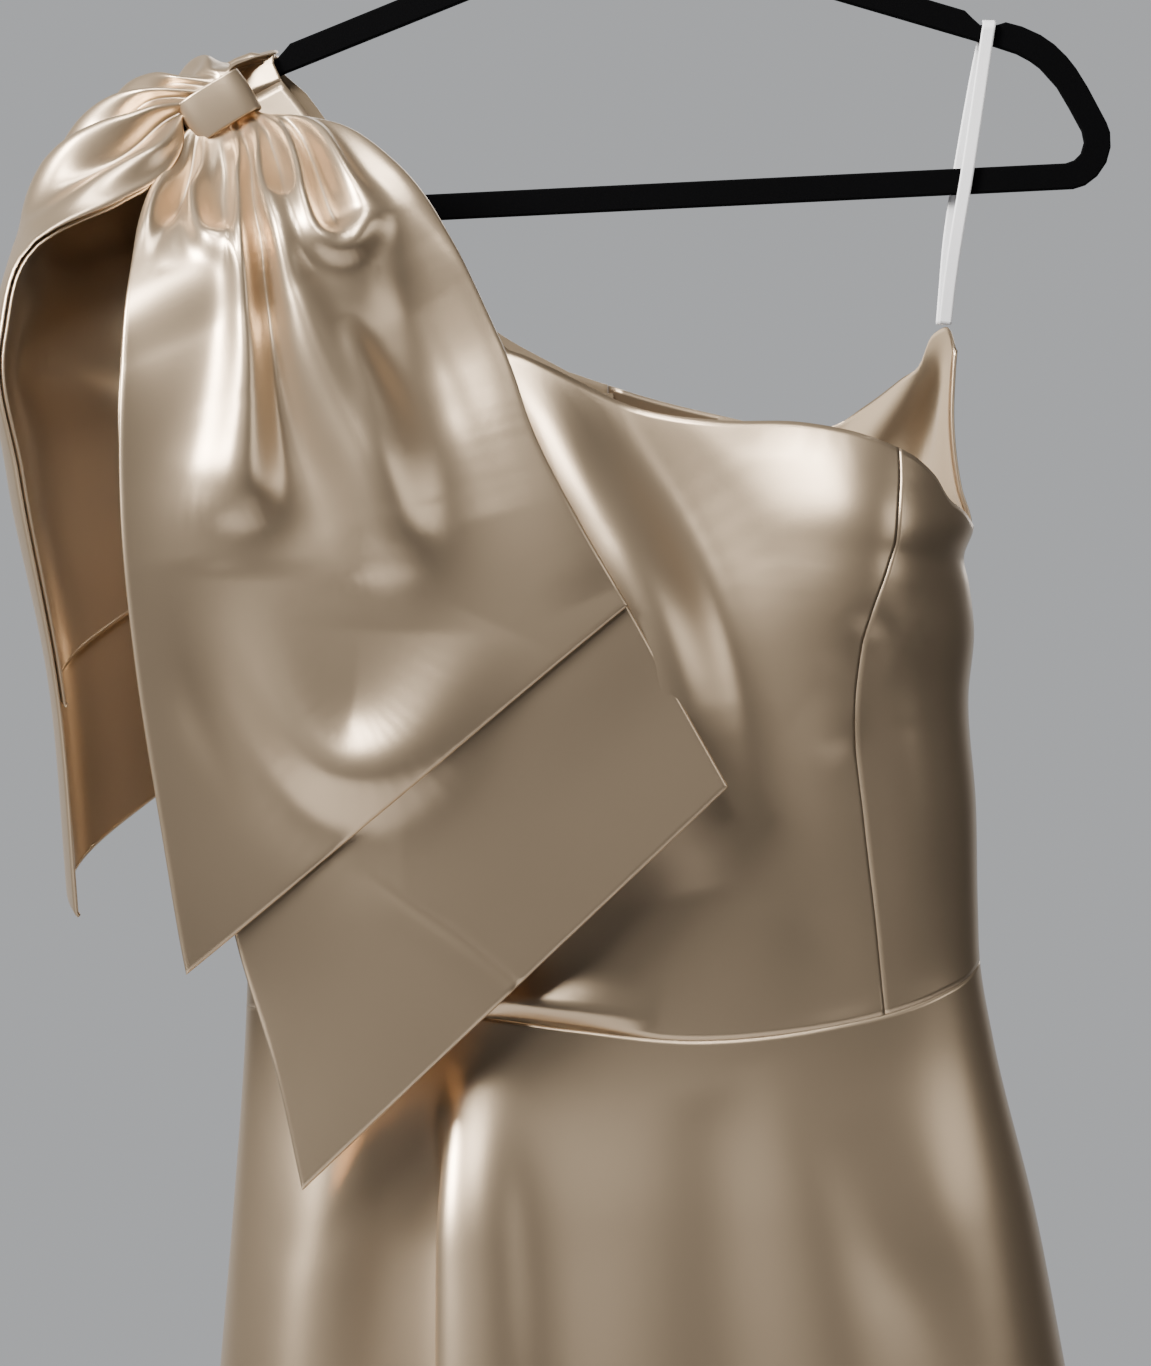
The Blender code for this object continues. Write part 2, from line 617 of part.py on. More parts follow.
def skirt_panels():
    """Skirt front with its pleat, and the two halves of the skirt back."""
    half_gap = SEAM_GAP / 2
    rows = np.array([0, 0.2, 0.4, 0.58, 0.73, 0.84, 0.92, 0.97, 1.0])
    steps = np.array(PLEAT_STEPS, float)

    def front_angles(z):
        fold = PLEAT_X + steps[None, :] + 0 * z[:, None]
        middle = angle_of(fold, z[:, None] + 0 * fold)
        left = math.pi + (middle[:, :1] - math.pi) * np.linspace(0, 1, 6)[None, :-1]
        right = middle[:, -1:] * (1 - np.linspace(0, 1, 14)[None, 1:])
        return np.concatenate([left, middle, right], axis=1)

    points, normals, angle = skirt_grid(WAIST_FRONT, front_angles, rows, True)
    outer = skirt_waves(points, normals, angle, SKIRT_WAVES_FRONT)
    distance = points[..., 0] - PLEAT_X
    outer = pleat(outer, normals, distance)
    inner = outer - wall_normals(outer, normals) * CLOTH
    cloth = Cloth()
    cloth.add(*trimmed(outer, inner, half_gap, half_gap, 0, WAIST_GAP / 2))
    cloth.build("skirt_front", SATIN)

    halves = [("skirt_back_left", left_side, centre_back), ("skirt_back_right", centre_back, right_side)]
    for name, left_seam, right_seam in halves:
        def back_angles(z, left_seam=left_seam, right_seam=right_seam):
            across = np.linspace(0, 1, 11)[None, :]
            return left_seam(z)[:, None] * (1 - across) + right_seam(z)[:, None] * across

        points, normals, angle = skirt_grid(WAIST_BACK, back_angles, rows, False)
        outer = skirt_waves(points, normals, angle, SKIRT_WAVES_BACK)
        cloth = Cloth()
        cloth.add(*trimmed(outer, outer - normals * CLOTH, half_gap, half_gap, 0, WAIST_GAP / 2))
        cloth.build(name, SATIN)


def wall_normals(points, guide):
    """Normals of a grid of points, on the same side as the guide normals, kept at the side edges."""
    along = np.gradient(points, axis=0)
    across = np.gradient(points, axis=1)
    normals = np.cross(along, across)
    normals /= np.linalg.norm(normals, axis=-1, keepdims=True)
    normals *= np.sign(np.sum(normals * guide, axis=-1, keepdims=True)[:, :1])
    normals[:, 0], normals[:, -1] = guide[:, 0], guide[:, -1]
    normals[-1] = guide[-1]
    return normals


def bow_guide(along, across):
    """Smooth guide surface that both strips of the bow follow."""
    table = [(row[0],) + tuple(np.ravel(row[1:])) for row in BOW_SECTIONS]
    lines = curve_through(table, along).reshape(np.shape(along) + (4, 3))
    t = across * 3
    weights = [
        -(t - 1) * (t - 2) * (t - 3) / 6, t * (t - 2) * (t - 3) / 2,
        -t * (t - 1) * (t - 3) / 2, t * (t - 1) * (t - 2) / 6,
    ]
    return sum(weight[..., None] * lines[..., k, :] for k, weight in enumerate(weights))


def bow_normals(along, across):
    """Outward normals of the guide surface."""
    step = 0.01
    down = bow_guide(along + step, across) - bow_guide(along - step, across)
    over = bow_guide(along, across + step) - bow_guide(along, across - step)
    normals = np.cross(down, over)
    normals /= np.linalg.norm(normals, axis=-1, keepdims=True)
    near = (1 - smooth((np.abs(along) - 0.05) / 0.09))[..., None]
    normals = normals * (1 - near) + np.array([0.0, -1.0, 0.0]) * near
    return normals / np.linalg.norm(normals, axis=-1, keepdims=True)


def bow_height(along, across):
    """Gathers that radiate from the knot and the larger folds of the front tails."""
    reach = np.where(along > 0, GATHER_REACH, SIDE_REACH)
    distance = np.abs(along)
    growth = smooth((distance - GATHER_START) / (GATHER_PEAK_AT - GATHER_START))
    fade = 1 - smooth((distance - GATHER_PEAK_AT) / reach)
    size = (GATHER_AT_KNOT + (GATHER_PEAK - GATHER_AT_KNOT) * growth) * fade
    height = size * np.cos(2 * math.pi * BOW_GATHERS * across)
    for place, half_width, rise, start, end in BOW_FOLDS:
        peak = start + 0.35 * (end - start)
        run = smooth((along - start) / (peak - start)) * (1 - smooth((along - peak) / (end - peak)))
        height = height + rise * run * np.exp(-(((across - place) / half_width) ** 2))
    return height


def bow_strip(name, strip):
    """One doubled strip of the bow, from the end of its side tail to the end of its front tail."""
    along_start, along_end, first_edge, depth = strip
    along = np.array([place for place in BOW_STATIONS if along_start <= place <= along_end])[:, None]
    across = np.linspace(0, 1, BOW_ACROSS_STEPS + 1)[None, :] + 0 * along
    kept = NARROWED_STEPS / BOW_ACROSS_STEPS
    first = first_edge * smooth((along - 0.35) / 0.4)
    across = np.where(across < kept, first + (kept - first) * across / kept, across)
    along = along + 0 * across
    guide, normals = bow_guide(along, across), bow_normals(along, across)
    height = (bow_height(along, across) - depth)[..., None]
    outer = guide + normals * height
    cloth = Cloth()
    cloth.add(outer, outer - normals * BOW_CLOTH)
    cloth.build(name, SATIN_BOW)


def knot_band():
    """Band round the gathers, an oval ring with its axis along the strips."""
    length_way = np.array([math.cos(KNOT_TURN), 0, math.sin(KNOT_TURN)])
    depth_way = np.array([0, -1, 0])
    axis = np.array([math.sin(KNOT_TURN), 0, -math.cos(KNOT_TURN)])
    turns = np.linspace(0, 2 * math.pi, 21)
    across = np.linspace(-0.5, 0.5, 6)

    def ring(shrink):
        rows = []
        for place in across:
            pinch = 1 - 0.04 * (2 * place) ** 2
            ovals = []
            for turn in turns:
                cosine, sine = math.cos(turn), math.sin(turn)
                along = (KNOT_HALF_LENGTH * pinch - shrink) * math.copysign(abs(cosine) ** 0.8, cosine)
                out = (KNOT_HALF_DEPTH * pinch - shrink) * math.copysign(abs(sine) ** 0.8, sine)
                ovals.append(np.array(KNOT_CENTRE) + length_way * along + depth_way * out
                             + axis * place * KNOT_WIDTH)
            rows.append(ovals[:-1])
        return np.array(rows)

    outer, inner = ring(0.0), ring(KNOT_WALL)
    rows, columns = outer.shape[:2]
    count = rows * columns
    faces = []
    for row in range(rows - 1):
        for column in range(columns):
            following = (column + 1) % columns
            quad = (row * columns + column, row * columns + following,
                    (row + 1) * columns + following, (row + 1) * columns + column)
            faces.append(quad)
            faces.append(tuple(count + point for point in reversed(quad)))
    for row in (0, rows - 1):
        for column in range(columns):
            following = (column + 1) % columns
            quad = (row * columns + column, row * columns + following,
                    count + row * columns + following, count + row * columns + column)
            faces.append(quad)
    points = np.concatenate([outer.reshape(-1, 3), inner.reshape(-1, 3)]) * MM
    mesh_object("bow_knot", points, faces, SATIN_BOW)


def ribbon():
    """Flat ribbon loop from the peak of the back, over the hanger and back to the peak."""
    reach = np.linspace(0, 1, len(RIBBON_PATH))
    table = [(float(place),) + row for place, row in zip(reach, RIBBON_PATH)]
    path = curve_through(table, np.linspace(0, 1, 43))
    way = np.gradient(path, axis=0)
    way /= np.linalg.norm(way, axis=1, keepdims=True)
    flat = np.array([1.0, 0.0, 0.0])
    wide = flat[None, :] - way * (way @ flat)[:, None]
    wide /= np.linalg.norm(wide, axis=1, keepdims=True)
    out = np.cross(wide, way)
    edges = np.stack([path - wide * RIBBON_WIDTH / 2, path + wide * RIBBON_WIDTH / 2], axis=1)
    cloth = Cloth()
    cloth.add(edges + out[:, None, :] * RIBBON_CLOTH / 2, edges - out[:, None, :] * RIBBON_CLOTH / 2)
    cloth.build("ribbon_loop", RIBBON)


def mirrored(outline):
    """Whole closed outline from its right half."""
    left = [(-x, z) for x, z in reversed(outline) if x > 0]
    return outline + left


def hanger():
    """Slim flat hanger: one flat outline with its triangular gap, tilted as it hangs."""
    curve = bpy.data.curves.new("hanger_frame", "CURVE")
    curve.dimensions = "2D"
    curve.fill_mode = "BOTH"
    bevel = 0.8
    curve.extrude = (HANGER_THICKNESS / 2 - bevel) * MM
    curve.bevel_depth = bevel * MM
    curve.bevel_resolution = 1
    curve.offset = -bevel * MM
    for outline in (mirrored(HANGER_OUTLINE), mirrored(HANGER_HOLE)):
        spline = curve.splines.new("POLY")
        spline.points.add(len(outline) - 1)
        for point, (x, z) in zip(spline.points, outline):
            point.co = (x * MM, z * MM, 0, 1)
        spline.use_cyclic_u = True
    thing = finished(bpy.data.objects.new("hanger_frame", curve), FLOCK)
    thing.matrix_world = Matrix.Rotation(-HANGER_TILT, 4, "Y") @ Matrix.Rotation(math.pi / 2, 4, "X")


def hook():
    """Wire hook: a stem from the hanger's neck that sweeps round over the origin."""
    radius = HOOK_INNER_RADIUS + HOOK_WIRE / 2
    centre_z = -HOOK_INNER_RADIUS
    points = [(0, HOOK_STEM_FOOT), (0, -66), (0.4, -58), (4.5, -47)]
    for degrees in range(-45, 196, 15):
        turn = math.radians(degrees)
        points.append((radius * math.cos(turn), centre_z + radius * math.sin(turn)))
    curve = bpy.data.curves.new("hanger_hook", "CURVE")
    curve.dimensions = "3D"
    curve.bevel_depth = HOOK_WIRE / 2 * MM
    curve.bevel_resolution = 2
    curve.use_fill_caps = True
    spline = curve.splines.new("POLY")
    spline.points.add(len(points) - 1)
    for point, (x, z) in zip(spline.points, points):
        point.co = (x * MM, 0, z * MM, 1)
    thing = finished(bpy.data.objects.new("hanger_hook", curve), METAL)
    thing.matrix_world = Matrix.Rotation(-HANGER_TILT, 4, "Y")


def main():
    for thing in list(bpy.data.objects):
        bpy.data.objects.remove(thing)
    collection = bpy.data.collections.new("One-shoulder dress")
    bpy.context.scene.collection.children.link(collection)
    hanger()
    hook()
    ribbon()
    front_panels()
    back_panels()
    zip_strip()
    skirt_panels()
    bow_strip("bow_upper", UPPER_STRIP)
    bow_strip("bow_lower", LOWER_STRIP)
    knot_band()


main()
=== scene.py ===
import math

import bmesh
import bpy
import numpy as np
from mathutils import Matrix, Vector


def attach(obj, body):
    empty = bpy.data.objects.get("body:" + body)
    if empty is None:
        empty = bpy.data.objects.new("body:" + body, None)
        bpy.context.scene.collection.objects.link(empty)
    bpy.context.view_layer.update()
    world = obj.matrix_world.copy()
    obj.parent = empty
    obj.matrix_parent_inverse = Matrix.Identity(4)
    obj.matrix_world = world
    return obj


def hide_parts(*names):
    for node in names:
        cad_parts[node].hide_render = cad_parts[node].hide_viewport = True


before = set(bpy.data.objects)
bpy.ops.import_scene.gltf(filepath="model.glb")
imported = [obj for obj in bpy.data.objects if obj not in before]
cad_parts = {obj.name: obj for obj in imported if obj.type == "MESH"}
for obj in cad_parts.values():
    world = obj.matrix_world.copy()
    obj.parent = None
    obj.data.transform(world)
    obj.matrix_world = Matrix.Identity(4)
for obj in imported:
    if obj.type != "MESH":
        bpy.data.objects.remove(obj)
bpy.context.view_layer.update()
print("stage: frame loaded")

mm = 0.001  # the tables below are in millimetres


# Curves

def smooth(value):
    clipped = np.clip(value, 0.0, 1.0)
    return clipped * clipped * (3 - 2 * clipped)


def curveThrough(table, at):
    # Reads a smooth curve through the rows of a table; a row starts with its place along the curve
    rows = np.array(sorted(table), float)
    place, values = rows[:, 0], rows[:, 1:]
    slope = np.gradient(values, place, axis=0)
    at = np.clip(np.asarray(at, float), place[0], place[-1])
    row = np.clip(np.searchsorted(place, at) - 1, 0, len(place) - 2)
    step = place[row + 1] - place[row]
    t = ((at - place[row]) / step)[..., None]
    step = step[..., None]
    start = (2 * t**3 - 3 * t**2 + 1) * values[row] + (t**3 - 2 * t**2 + t) * step * slope[row]
    end = (3 * t**2 - 2 * t**3) * values[row + 1] + (t**3 - t**2) * step * slope[row + 1]
    return start + end


def alongLine(points, count=600):
    # Even steps along a smooth line through its points
    points = np.array(points, float)
    reach = np.concatenate([[0], np.cumsum(np.linalg.norm(np.diff(points, axis=0), axis=1))])
    at = np.linspace(0, reach[-1], count)
    table = [(place,) + tuple(point) for place, point in zip(reach, points)]
    return curveThrough(table, at)


# The dress as one tube, cut at its seams
bodySections = [
    # height, left, right, front depth, back depth, squareness
    (-140, -212, 215, 6, 6, 5.0),
    (-200, -205, 185, 17, 16, 4.5),
    (-260, -190, 161.5, 34, 25, 3.6),
    (-285, -184, 160, 40, 28, 3.2),
    (-320, -178, 160, 52, 32, 2.8),
    (-345, -173, 162.5, 59, 34, 2.6),
    (-364, -169, 166.5, 63.5, 35, 2.5),
    (-377, -166, 162, 66.5, 36, 2.45),
    (-390, -165, 164.5, 69, 37, 2.4),
    (-410, -165.5, 167, 71.5, 37, 2.4),
    (-442, -165, 164.5, 72, 36, 2.4),
    (-491, -166, 168, 66, 35, 2.4),
    (-540, -168, 169, 61, 36, 2.4),
    (-565, -169.5, 170, 60, 37, 2.4),
    (-600, -171, 176, 60, 38, 2.35),
    (-680, -176.5, 195.5, 73, 45, 2.3),
    (-753, -182.5, 209.5, 86, 52, 2.3),
    (-900, -194, 236, 105, 66, 2.3),
    (-1100, -209, 272, 113, 82, 2.3),
    (-1350, -227, 314, 117, 98, 2.3),
]
slopeReach = 2.0  # the tube's lean is measured this far above and below a point

# Seams and edges on the tube, each a line of (x, z)
princessRight = [
    (-300, 124), (-331, 126), (-355, 124.5), (-384, 119.5), (-403, 113.5), (-442, 108), (-500, 113),
    (-544, 118.5), (-620, 126),
]
princessLeft = [
    (-300, -158), (-340, -146), (-384, -123), (-442, -114), (-500, -119), (-544, -124), (-620, -133),
]
centreBack = [(-250, -3), (-1400, 12)]
waistFront = [
    (-171, -585), (-115, -584.5), (-60, -586.5), (-20, -591.5), (38, -597), (71, -595), (104, -590),
    (124, -586), (149, -577.5), (163.5, -570), (170, -563.5),
]
waistBack = [(-171, -585), (0, -580), (170, -563.5)]
armholeFront = [(-166, -385), (-156, -362), (-146, -340)]
necklineFront = [
    (-146, -340), (-48, -284), (-31.6, -291), (-7.5, -302.5), (27.5, -314), (48, -316.5), (84, -318),
    (105, -323), (126, -331),
]
sideTopFront = [
    (126, -331), (133, -334.4), (142.7, -342), (151.6, -353.5), (158, -356.5), (166.5, -364),
]
armholeBack = [(-166, -385), (-157, -355), (-152, -325)]
necklineBackLeft = [(-152, -325), (-142, -322.2), (-31, -291.8), (-21, -289), (-17, -290.3), (-3, -295)]
necklineBackRight = [
    (-3, -295), (13, -300), (51, -309.5), (85, -316), (100, -315.5), (120, -305.5), (136, -294),
    (143, -288.5), (150, -272.5), (154.7, -270), (160, -281),
]
strapFrontOuter = [(-146, -340), (-150, -300), (-163, -250), (-180, -205), (-193, -178)]
strapFrontNeck = [(-48, -284), (-79.6, -256), (-105, -225.6), (-126, -195), (-140.5, -173.5), (-153.6, -157)]
strapBackOuter = [(-152, -325), (-158, -270), (-178, -210), (-193, -172)]
strapBackNeck = [(-21, -289), (-55, -270), (-88, -240), (-115, -205), (-134, -173), (-149, -153)]
strapTop = (-193, -157.5)


def bodyAt(z):
    left, right, front, back, power = np.moveaxis(curveThrough(bodySections, z), -1, 0)
    return (left + right) / 2, (right - left) / 2, front, back, power


def angleOf(x, z):
    centre, half, _, _, power = bodyAt(z)
    side = np.clip((x - centre) / half, -1, 1)
    return np.arccos(np.sign(side) * np.abs(side) ** (power / 2))


def tubePoint(angle, z, isFront):
    # A place on the tube and the way it faces; angle is 0 on the right and pi on the left
    centre, half, front, back, power = bodyAt(z)
    depth = front if isFront else back
    turn = -1.0 if isFront else 1.0
    across = np.sign(np.cos(angle)) * np.abs(np.cos(angle)) ** (2 / power)
    out = np.abs(np.sin(angle)) ** (2 / power)
    x, y = centre + half * across, turn * depth * out
    normalX = np.sign(across) * np.abs(across) ** (power - 1) / half
    normalY = turn * out ** (power - 1) / depth
    higher, lower = bodyAt(z + slopeReach), bodyAt(z - slopeReach)
    leanX = (higher[0] + higher[1] * across - lower[0] - lower[1] * across) / (2 * slopeReach)
    depthChange = (higher[2] - lower[2]) if isFront else (higher[3] - lower[3])
    leanY = turn * out * depthChange / (2 * slopeReach)
    normal = np.stack([normalX, normalY, -(normalX * leanX + normalY * leanY)], axis=-1)
    normal /= np.linalg.norm(normal, axis=-1, keepdims=True)
    return np.stack([x, y, z], axis=-1), normal


def seamOf(table):
    return lambda z: angleOf(curveThrough(table, z)[..., 0], z)


def leftSide(z):
    return np.full(np.shape(z), math.pi)


def rightSide(z):
    return np.zeros(np.shape(z))


leftPrincess = seamOf(princessLeft)
rightPrincess = seamOf(princessRight)
centreBackSeam = seamOf(centreBack)


def creaseHeight(points, creases, placeOf):
    # Each crease is a soft ridge or trough along its own line, faded with the distance from it
    stepsPerRow = 4
    height = np.zeros(points.shape[:2])
    for crease in creases:
        rows = np.array(crease, float)
        reach = np.linspace(0, 1, len(rows))
        table = [(float(place),) + tuple(row) for place, row in zip(reach, rows)]
        line = curveThrough(table, np.linspace(0, 1, stepsPerRow * len(rows)))
        path = placeOf(line[:, 0], line[:, 1])
        nearest = np.full(height.shape, np.inf)
        amount = np.zeros(height.shape)
        for first, last, before, after in zip(path[:-1], path[1:], line[:-1], line[1:]):
            way = last - first
            t = np.clip(((points - first) @ way) / (way @ way), 0, 1)
            distance = np.linalg.norm(points - first - t[..., None] * way, axis=-1)
            closer = distance < nearest
            halfWidth = before[2] * (1 - t) + after[2] * t
            rise = before[3] * (1 - t) + after[3] * t
            amount = np.where(closer, rise * np.exp(-((distance / halfWidth) ** 2)), amount)
            nearest = np.where(closer, distance, nearest)
        height += amount
    return height


def onFront(x, z):
    return tubePoint(angleOf(x, z), z, True)[0]


def onBack(x, z):
    return tubePoint(angleOf(x, z), z, False)[0]


def creased(grid, normals, creases, placeOf, quietRows=0.0):
    # quietRows is the share of the rows, from the waist up, over which the creases grow to their height
    height = creaseHeight(grid, creases, placeOf)
    if quietRows:
        height = height * smooth(np.linspace(0, 1, len(grid)) / quietRows)[:, None]
    return grid + normals * height[..., None]


# Materials

class Socket:
    # A node's output that reads like a number in an expression

    def __init__(self, owner, output):
        self.owner, self.output = owner, output

    def math(self, operation, first, second):
        return self.owner.node("ShaderNodeMath", {"operation": operation}, {0: first, 1: second})

    def __add__(self, other):
        return self.math("ADD", self, other)

    __radd__ = __add__

    def __sub__(self, other):
        return self.math("SUBTRACT", self, other)

    def __rsub__(self, other):
        return self.math("SUBTRACT", other, self)

    def __mul__(self, other):
        return self.math("MULTIPLY", self, other)

    __rmul__ = __mul__


class NodeTree:
    # Adds nodes to one tree, for a material or for the world

    def __init__(self, tree):
        self.tree = tree

    def node(self, kind, settings=None, inputs=None, output=0):
        # Settings come first, a ramp's too, then the values or links of the sockets
        node = self.tree.nodes.new(kind)
        for setting, value in (settings or {}).items():
            if setting == "interpolation":
                node.color_ramp.interpolation = value
            elif setting == "stops":
                for stop, (position, colour) in zip(node.color_ramp.elements, value):
                    stop.position, stop.color = position, (*colour, 1)
            else:
                setattr(node, setting, value)
        for socket, value in (inputs or {}).items():
            if isinstance(value, Socket):
                self.tree.links.new(value.output, node.inputs[socket])
            else:
                node.inputs[socket].default_value = value
        return Socket(self, node.outputs[output])


class Look(NodeTree):
    # One Principled material; constants go straight onto the shader's sockets

    def __init__(self, name, colour, roughness, metallic=0.0, **constants):
        self.material = bpy.data.materials.new(name)
        self.material.use_nodes = True
        super().__init__(self.material.node_tree)
        self.shader = self.tree.nodes["Principled BSDF"]
        self.material.diffuse_color = (*colour, 1)
        constants.update(Base_Color=(*colour, 1), Roughness=roughness, Metallic=metallic)
        for socket, value in constants.items():
            self.shader.inputs[socket.replace("_", " ")].default_value = value

    def noise(self, scale, detail=2.0, roughness=0.5, stretch=(1, 1, 1)):
        place = self.node("ShaderNodeTexCoord", output="Object")
        turned = self.node("ShaderNodeMapping", None, {"Vector": place, "Scale": stretch})
        values = {"Vector": turned, "Scale": scale, "Detail": detail, "Roughness": roughness}
        return self.node("ShaderNodeTexNoise", None, values, "Fac")

    def mixColour(self, factor, first, second):
        values = {"Factor": factor, "A": (*first, 1), "B": (*second, 1)}
        return self.node("ShaderNodeMix", {"data_type": "RGBA"}, values, "Result")

    def drive(self, socket, value):
        self.tree.links.new(value.output, self.shader.inputs[socket])

    def bump(self, height, strength, distance):
        values = {"Height": height, "Strength": strength, "Distance": distance}
        self.drive("Normal", self.node("ShaderNodeBump", None, values))


def scaled(colour, amount):
    return tuple(channel * amount for channel in colour)


satinSettings = {
    "colour": (0.60, 0.462, 0.318), "roughness": 0.31, "metallic": 0.85, "mottle": 9.0, "mottleAmount": 0.05,
    "grain": 1500.0, "grainSpread": 0.10, "grainBump": 0.05, "grainHeight": 0.0004, "bowTint": 1.03,
}


def satinLook(name, tint=1.0):
    colour, amount = scaled(satinSettings["colour"], tint), satinSettings["mottleAmount"]
    roughness, spread = satinSettings["roughness"], satinSettings["grainSpread"]
    look = Look(name, colour, roughness, satinSettings["metallic"])
    mottle = look.noise(satinSettings["mottle"], 3.0)
    look.drive("Base Color", look.mixColour(mottle, scaled(colour, 1 - amount), scaled(colour, 1 + amount)))
    grain = look.noise(satinSettings["grain"], 3.0, 0.7)
    look.drive("Roughness", grain * spread + (roughness - spread / 2))
    look.bump(grain, satinSettings["grainBump"], satinSettings["grainHeight"])
    return look.material


# The lining colour is its own pale tone darkened well down: painted shade for the shaded hollow of the peak
# where it shows, carried also to the inside faces and the zip that share it
liningSettings = {
    "colour": (0.33, 0.245, 0.155), "roughness": 0.72, "sheen": 0.25, "mottle": 14.0, "mottleAmount": 0.04,
    "weave": 2200.0, "weaveStretch": (1, 1, 0.4), "weaveBump": 0.12, "weaveHeight": 0.0003,
}


def liningLook():
    colour, amount = liningSettings["colour"], liningSettings["mottleAmount"]
    look = Look("lining", colour, liningSettings["roughness"], Sheen_Weight=liningSettings["sheen"])
    mottle = look.noise(liningSettings["mottle"], 3.0)
    look.drive("Base Color", look.mixColour(mottle, scaled(colour, 1 - amount), scaled(colour, 1 + amount)))
    weave = look.noise(liningSettings["weave"], 2.0, 0.6, liningSettings["weaveStretch"])
    look.bump(weave, liningSettings["weaveBump"], liningSettings["weaveHeight"])
    return look.material


ribbonSettings = {
    "colour": (0.88, 0.88, 0.90), "roughness": 0.42, "sheen": 0.2, "ribs": 900.0,
    "ribStretch": (4.0, 4.0, 0.15), "ribShade": 0.94, "ribBump": 0.15, "ribHeight": 0.0002,
}


def ribbonLook():
    colour = ribbonSettings["colour"]
    look = Look("ribbon", colour, ribbonSettings["roughness"], Sheen_Weight=ribbonSettings["sheen"])
    ribs = look.noise(ribbonSettings["ribs"], 2.0, 0.5, ribbonSettings["ribStretch"])
    look.drive("Base Color", look.mixColour(ribs, scaled(colour, ribbonSettings["ribShade"]), colour))
    look.bump(ribs, ribbonSettings["ribBump"], ribbonSettings["ribHeight"])
    return look.material


flockSettings = {
    "colour": (0.001, 0.001, 0.0012), "roughness": 0.95, "specular": 0.05, "pile": 2600.0,
    "pileDark": 0.6, "pileLight": 2.2, "pileBump": 0.5, "pileHeight": 0.0003,
}


def flockLook():
    colour, dark, light = (flockSettings[key] for key in ("colour", "pileDark", "pileLight"))
    look = Look("hanger flock", colour, flockSettings["roughness"],
                Specular_IOR_Level=flockSettings["specular"])
    pile = look.noise(flockSettings["pile"], 3.0, 0.8)
    look.drive("Base Color", look.mixColour(pile, scaled(colour, dark), scaled(colour, light)))
    look.bump(pile, flockSettings["pileBump"], flockSettings["pileHeight"])
    return look.material


metalSettings = {
    "colour": (0.72, 0.72, 0.74), "roughness": 0.24, "scratches": 500.0, "scratchStretch": (1, 1, 0.2),
    "scratchSpread": 0.16,
}


def metalLook():
    roughness, spread = metalSettings["roughness"], metalSettings["scratchSpread"]
    look = Look("hook metal", metalSettings["colour"], roughness, 1.0)
    scratches = look.noise(metalSettings["scratches"], 3.0, 0.6, metalSettings["scratchStretch"])
    look.drive("Roughness", scratches * spread + (roughness - spread / 2))
    return look.material


looks = {
    "satin": satinLook("satin"), "bow": satinLook("bow satin", satinSettings["bowTint"]),
    "lining": liningLook(), "ribbon": ribbonLook(), "flock": flockLook(), "metal": metalLook(),
}
print("stage: materials made")


# Cloth
clothSettings = {
    "bodice": 1.6, "lining": 1.0, "skirt": 1.4, "bow": 1.8, "knot": 1.6, "ribbon": 0.9, "seamGap": 0.12,
}
seamTrim = clothSettings["seamGap"] / 2  # each side of a seam gives up half of its gap
pieces = {
    # node, slot, thickness, outside, inside, how it is held, flat width and length in m, area cut in m2
    "frontCentre": ("front_centre", "satin", "bodice", "satin", "lining", "hung", 0.32, 0.46, 0.085),
    "frontSideLeft": ("front_side_left", "satin", "bodice", "satin", "lining", "hung", 0.085, 0.25, None),
    "frontSideRight": ("front_side_right", "satin", "bodice", "satin", "lining", "hung", 0.085, 0.26, None),
    "backLeft": ("back_left", "satin", "bodice", "satin", "lining", "hung", 0.20, 0.47, 0.065),
    "backRight": ("back_right", "satin", "bodice", "satin", "satin", "hung", 0.18, 0.31, None),
    "backLining": ("back_lining", "lining", "lining", "lining", "lining", "hung", 0.13, 0.21, 0.022),
    "skirtFront": ("skirt_front", "satin", "skirt", "satin", "satin", "hung", 0.70, 0.79, 0.40),
    "skirtBackLeft": ("skirt_back_left", "satin", "skirt", "satin", "satin", "hung", 0.30, 0.78, 0.19),
    "skirtBackRight": ("skirt_back_right", "satin", "skirt", "satin", "satin", "hung", 0.38, 0.79, 0.22),
    "bowUpper": ("bow_upper", "bow_satin", "bow", "bow", "bow", "gathered", 0.20, 0.95, 0.175),
    "bowLower": ("bow_lower", "bow_satin", "bow", "bow", "bow", "gathered", 0.20, 0.95, 0.175),
    "bowKnot": ("bow_knot", "bow_satin", "knot", "bow", "bow", "stretched", 0.021, 0.095, None),
    "ribbonLoop": ("ribbon_loop", "ribbon", "ribbon", "ribbon", "ribbon", "hung", 0.010, 0.29, 0.0018),
}
towardsFront, towardsBack = (0, -1, 0), (0, 1, 0)


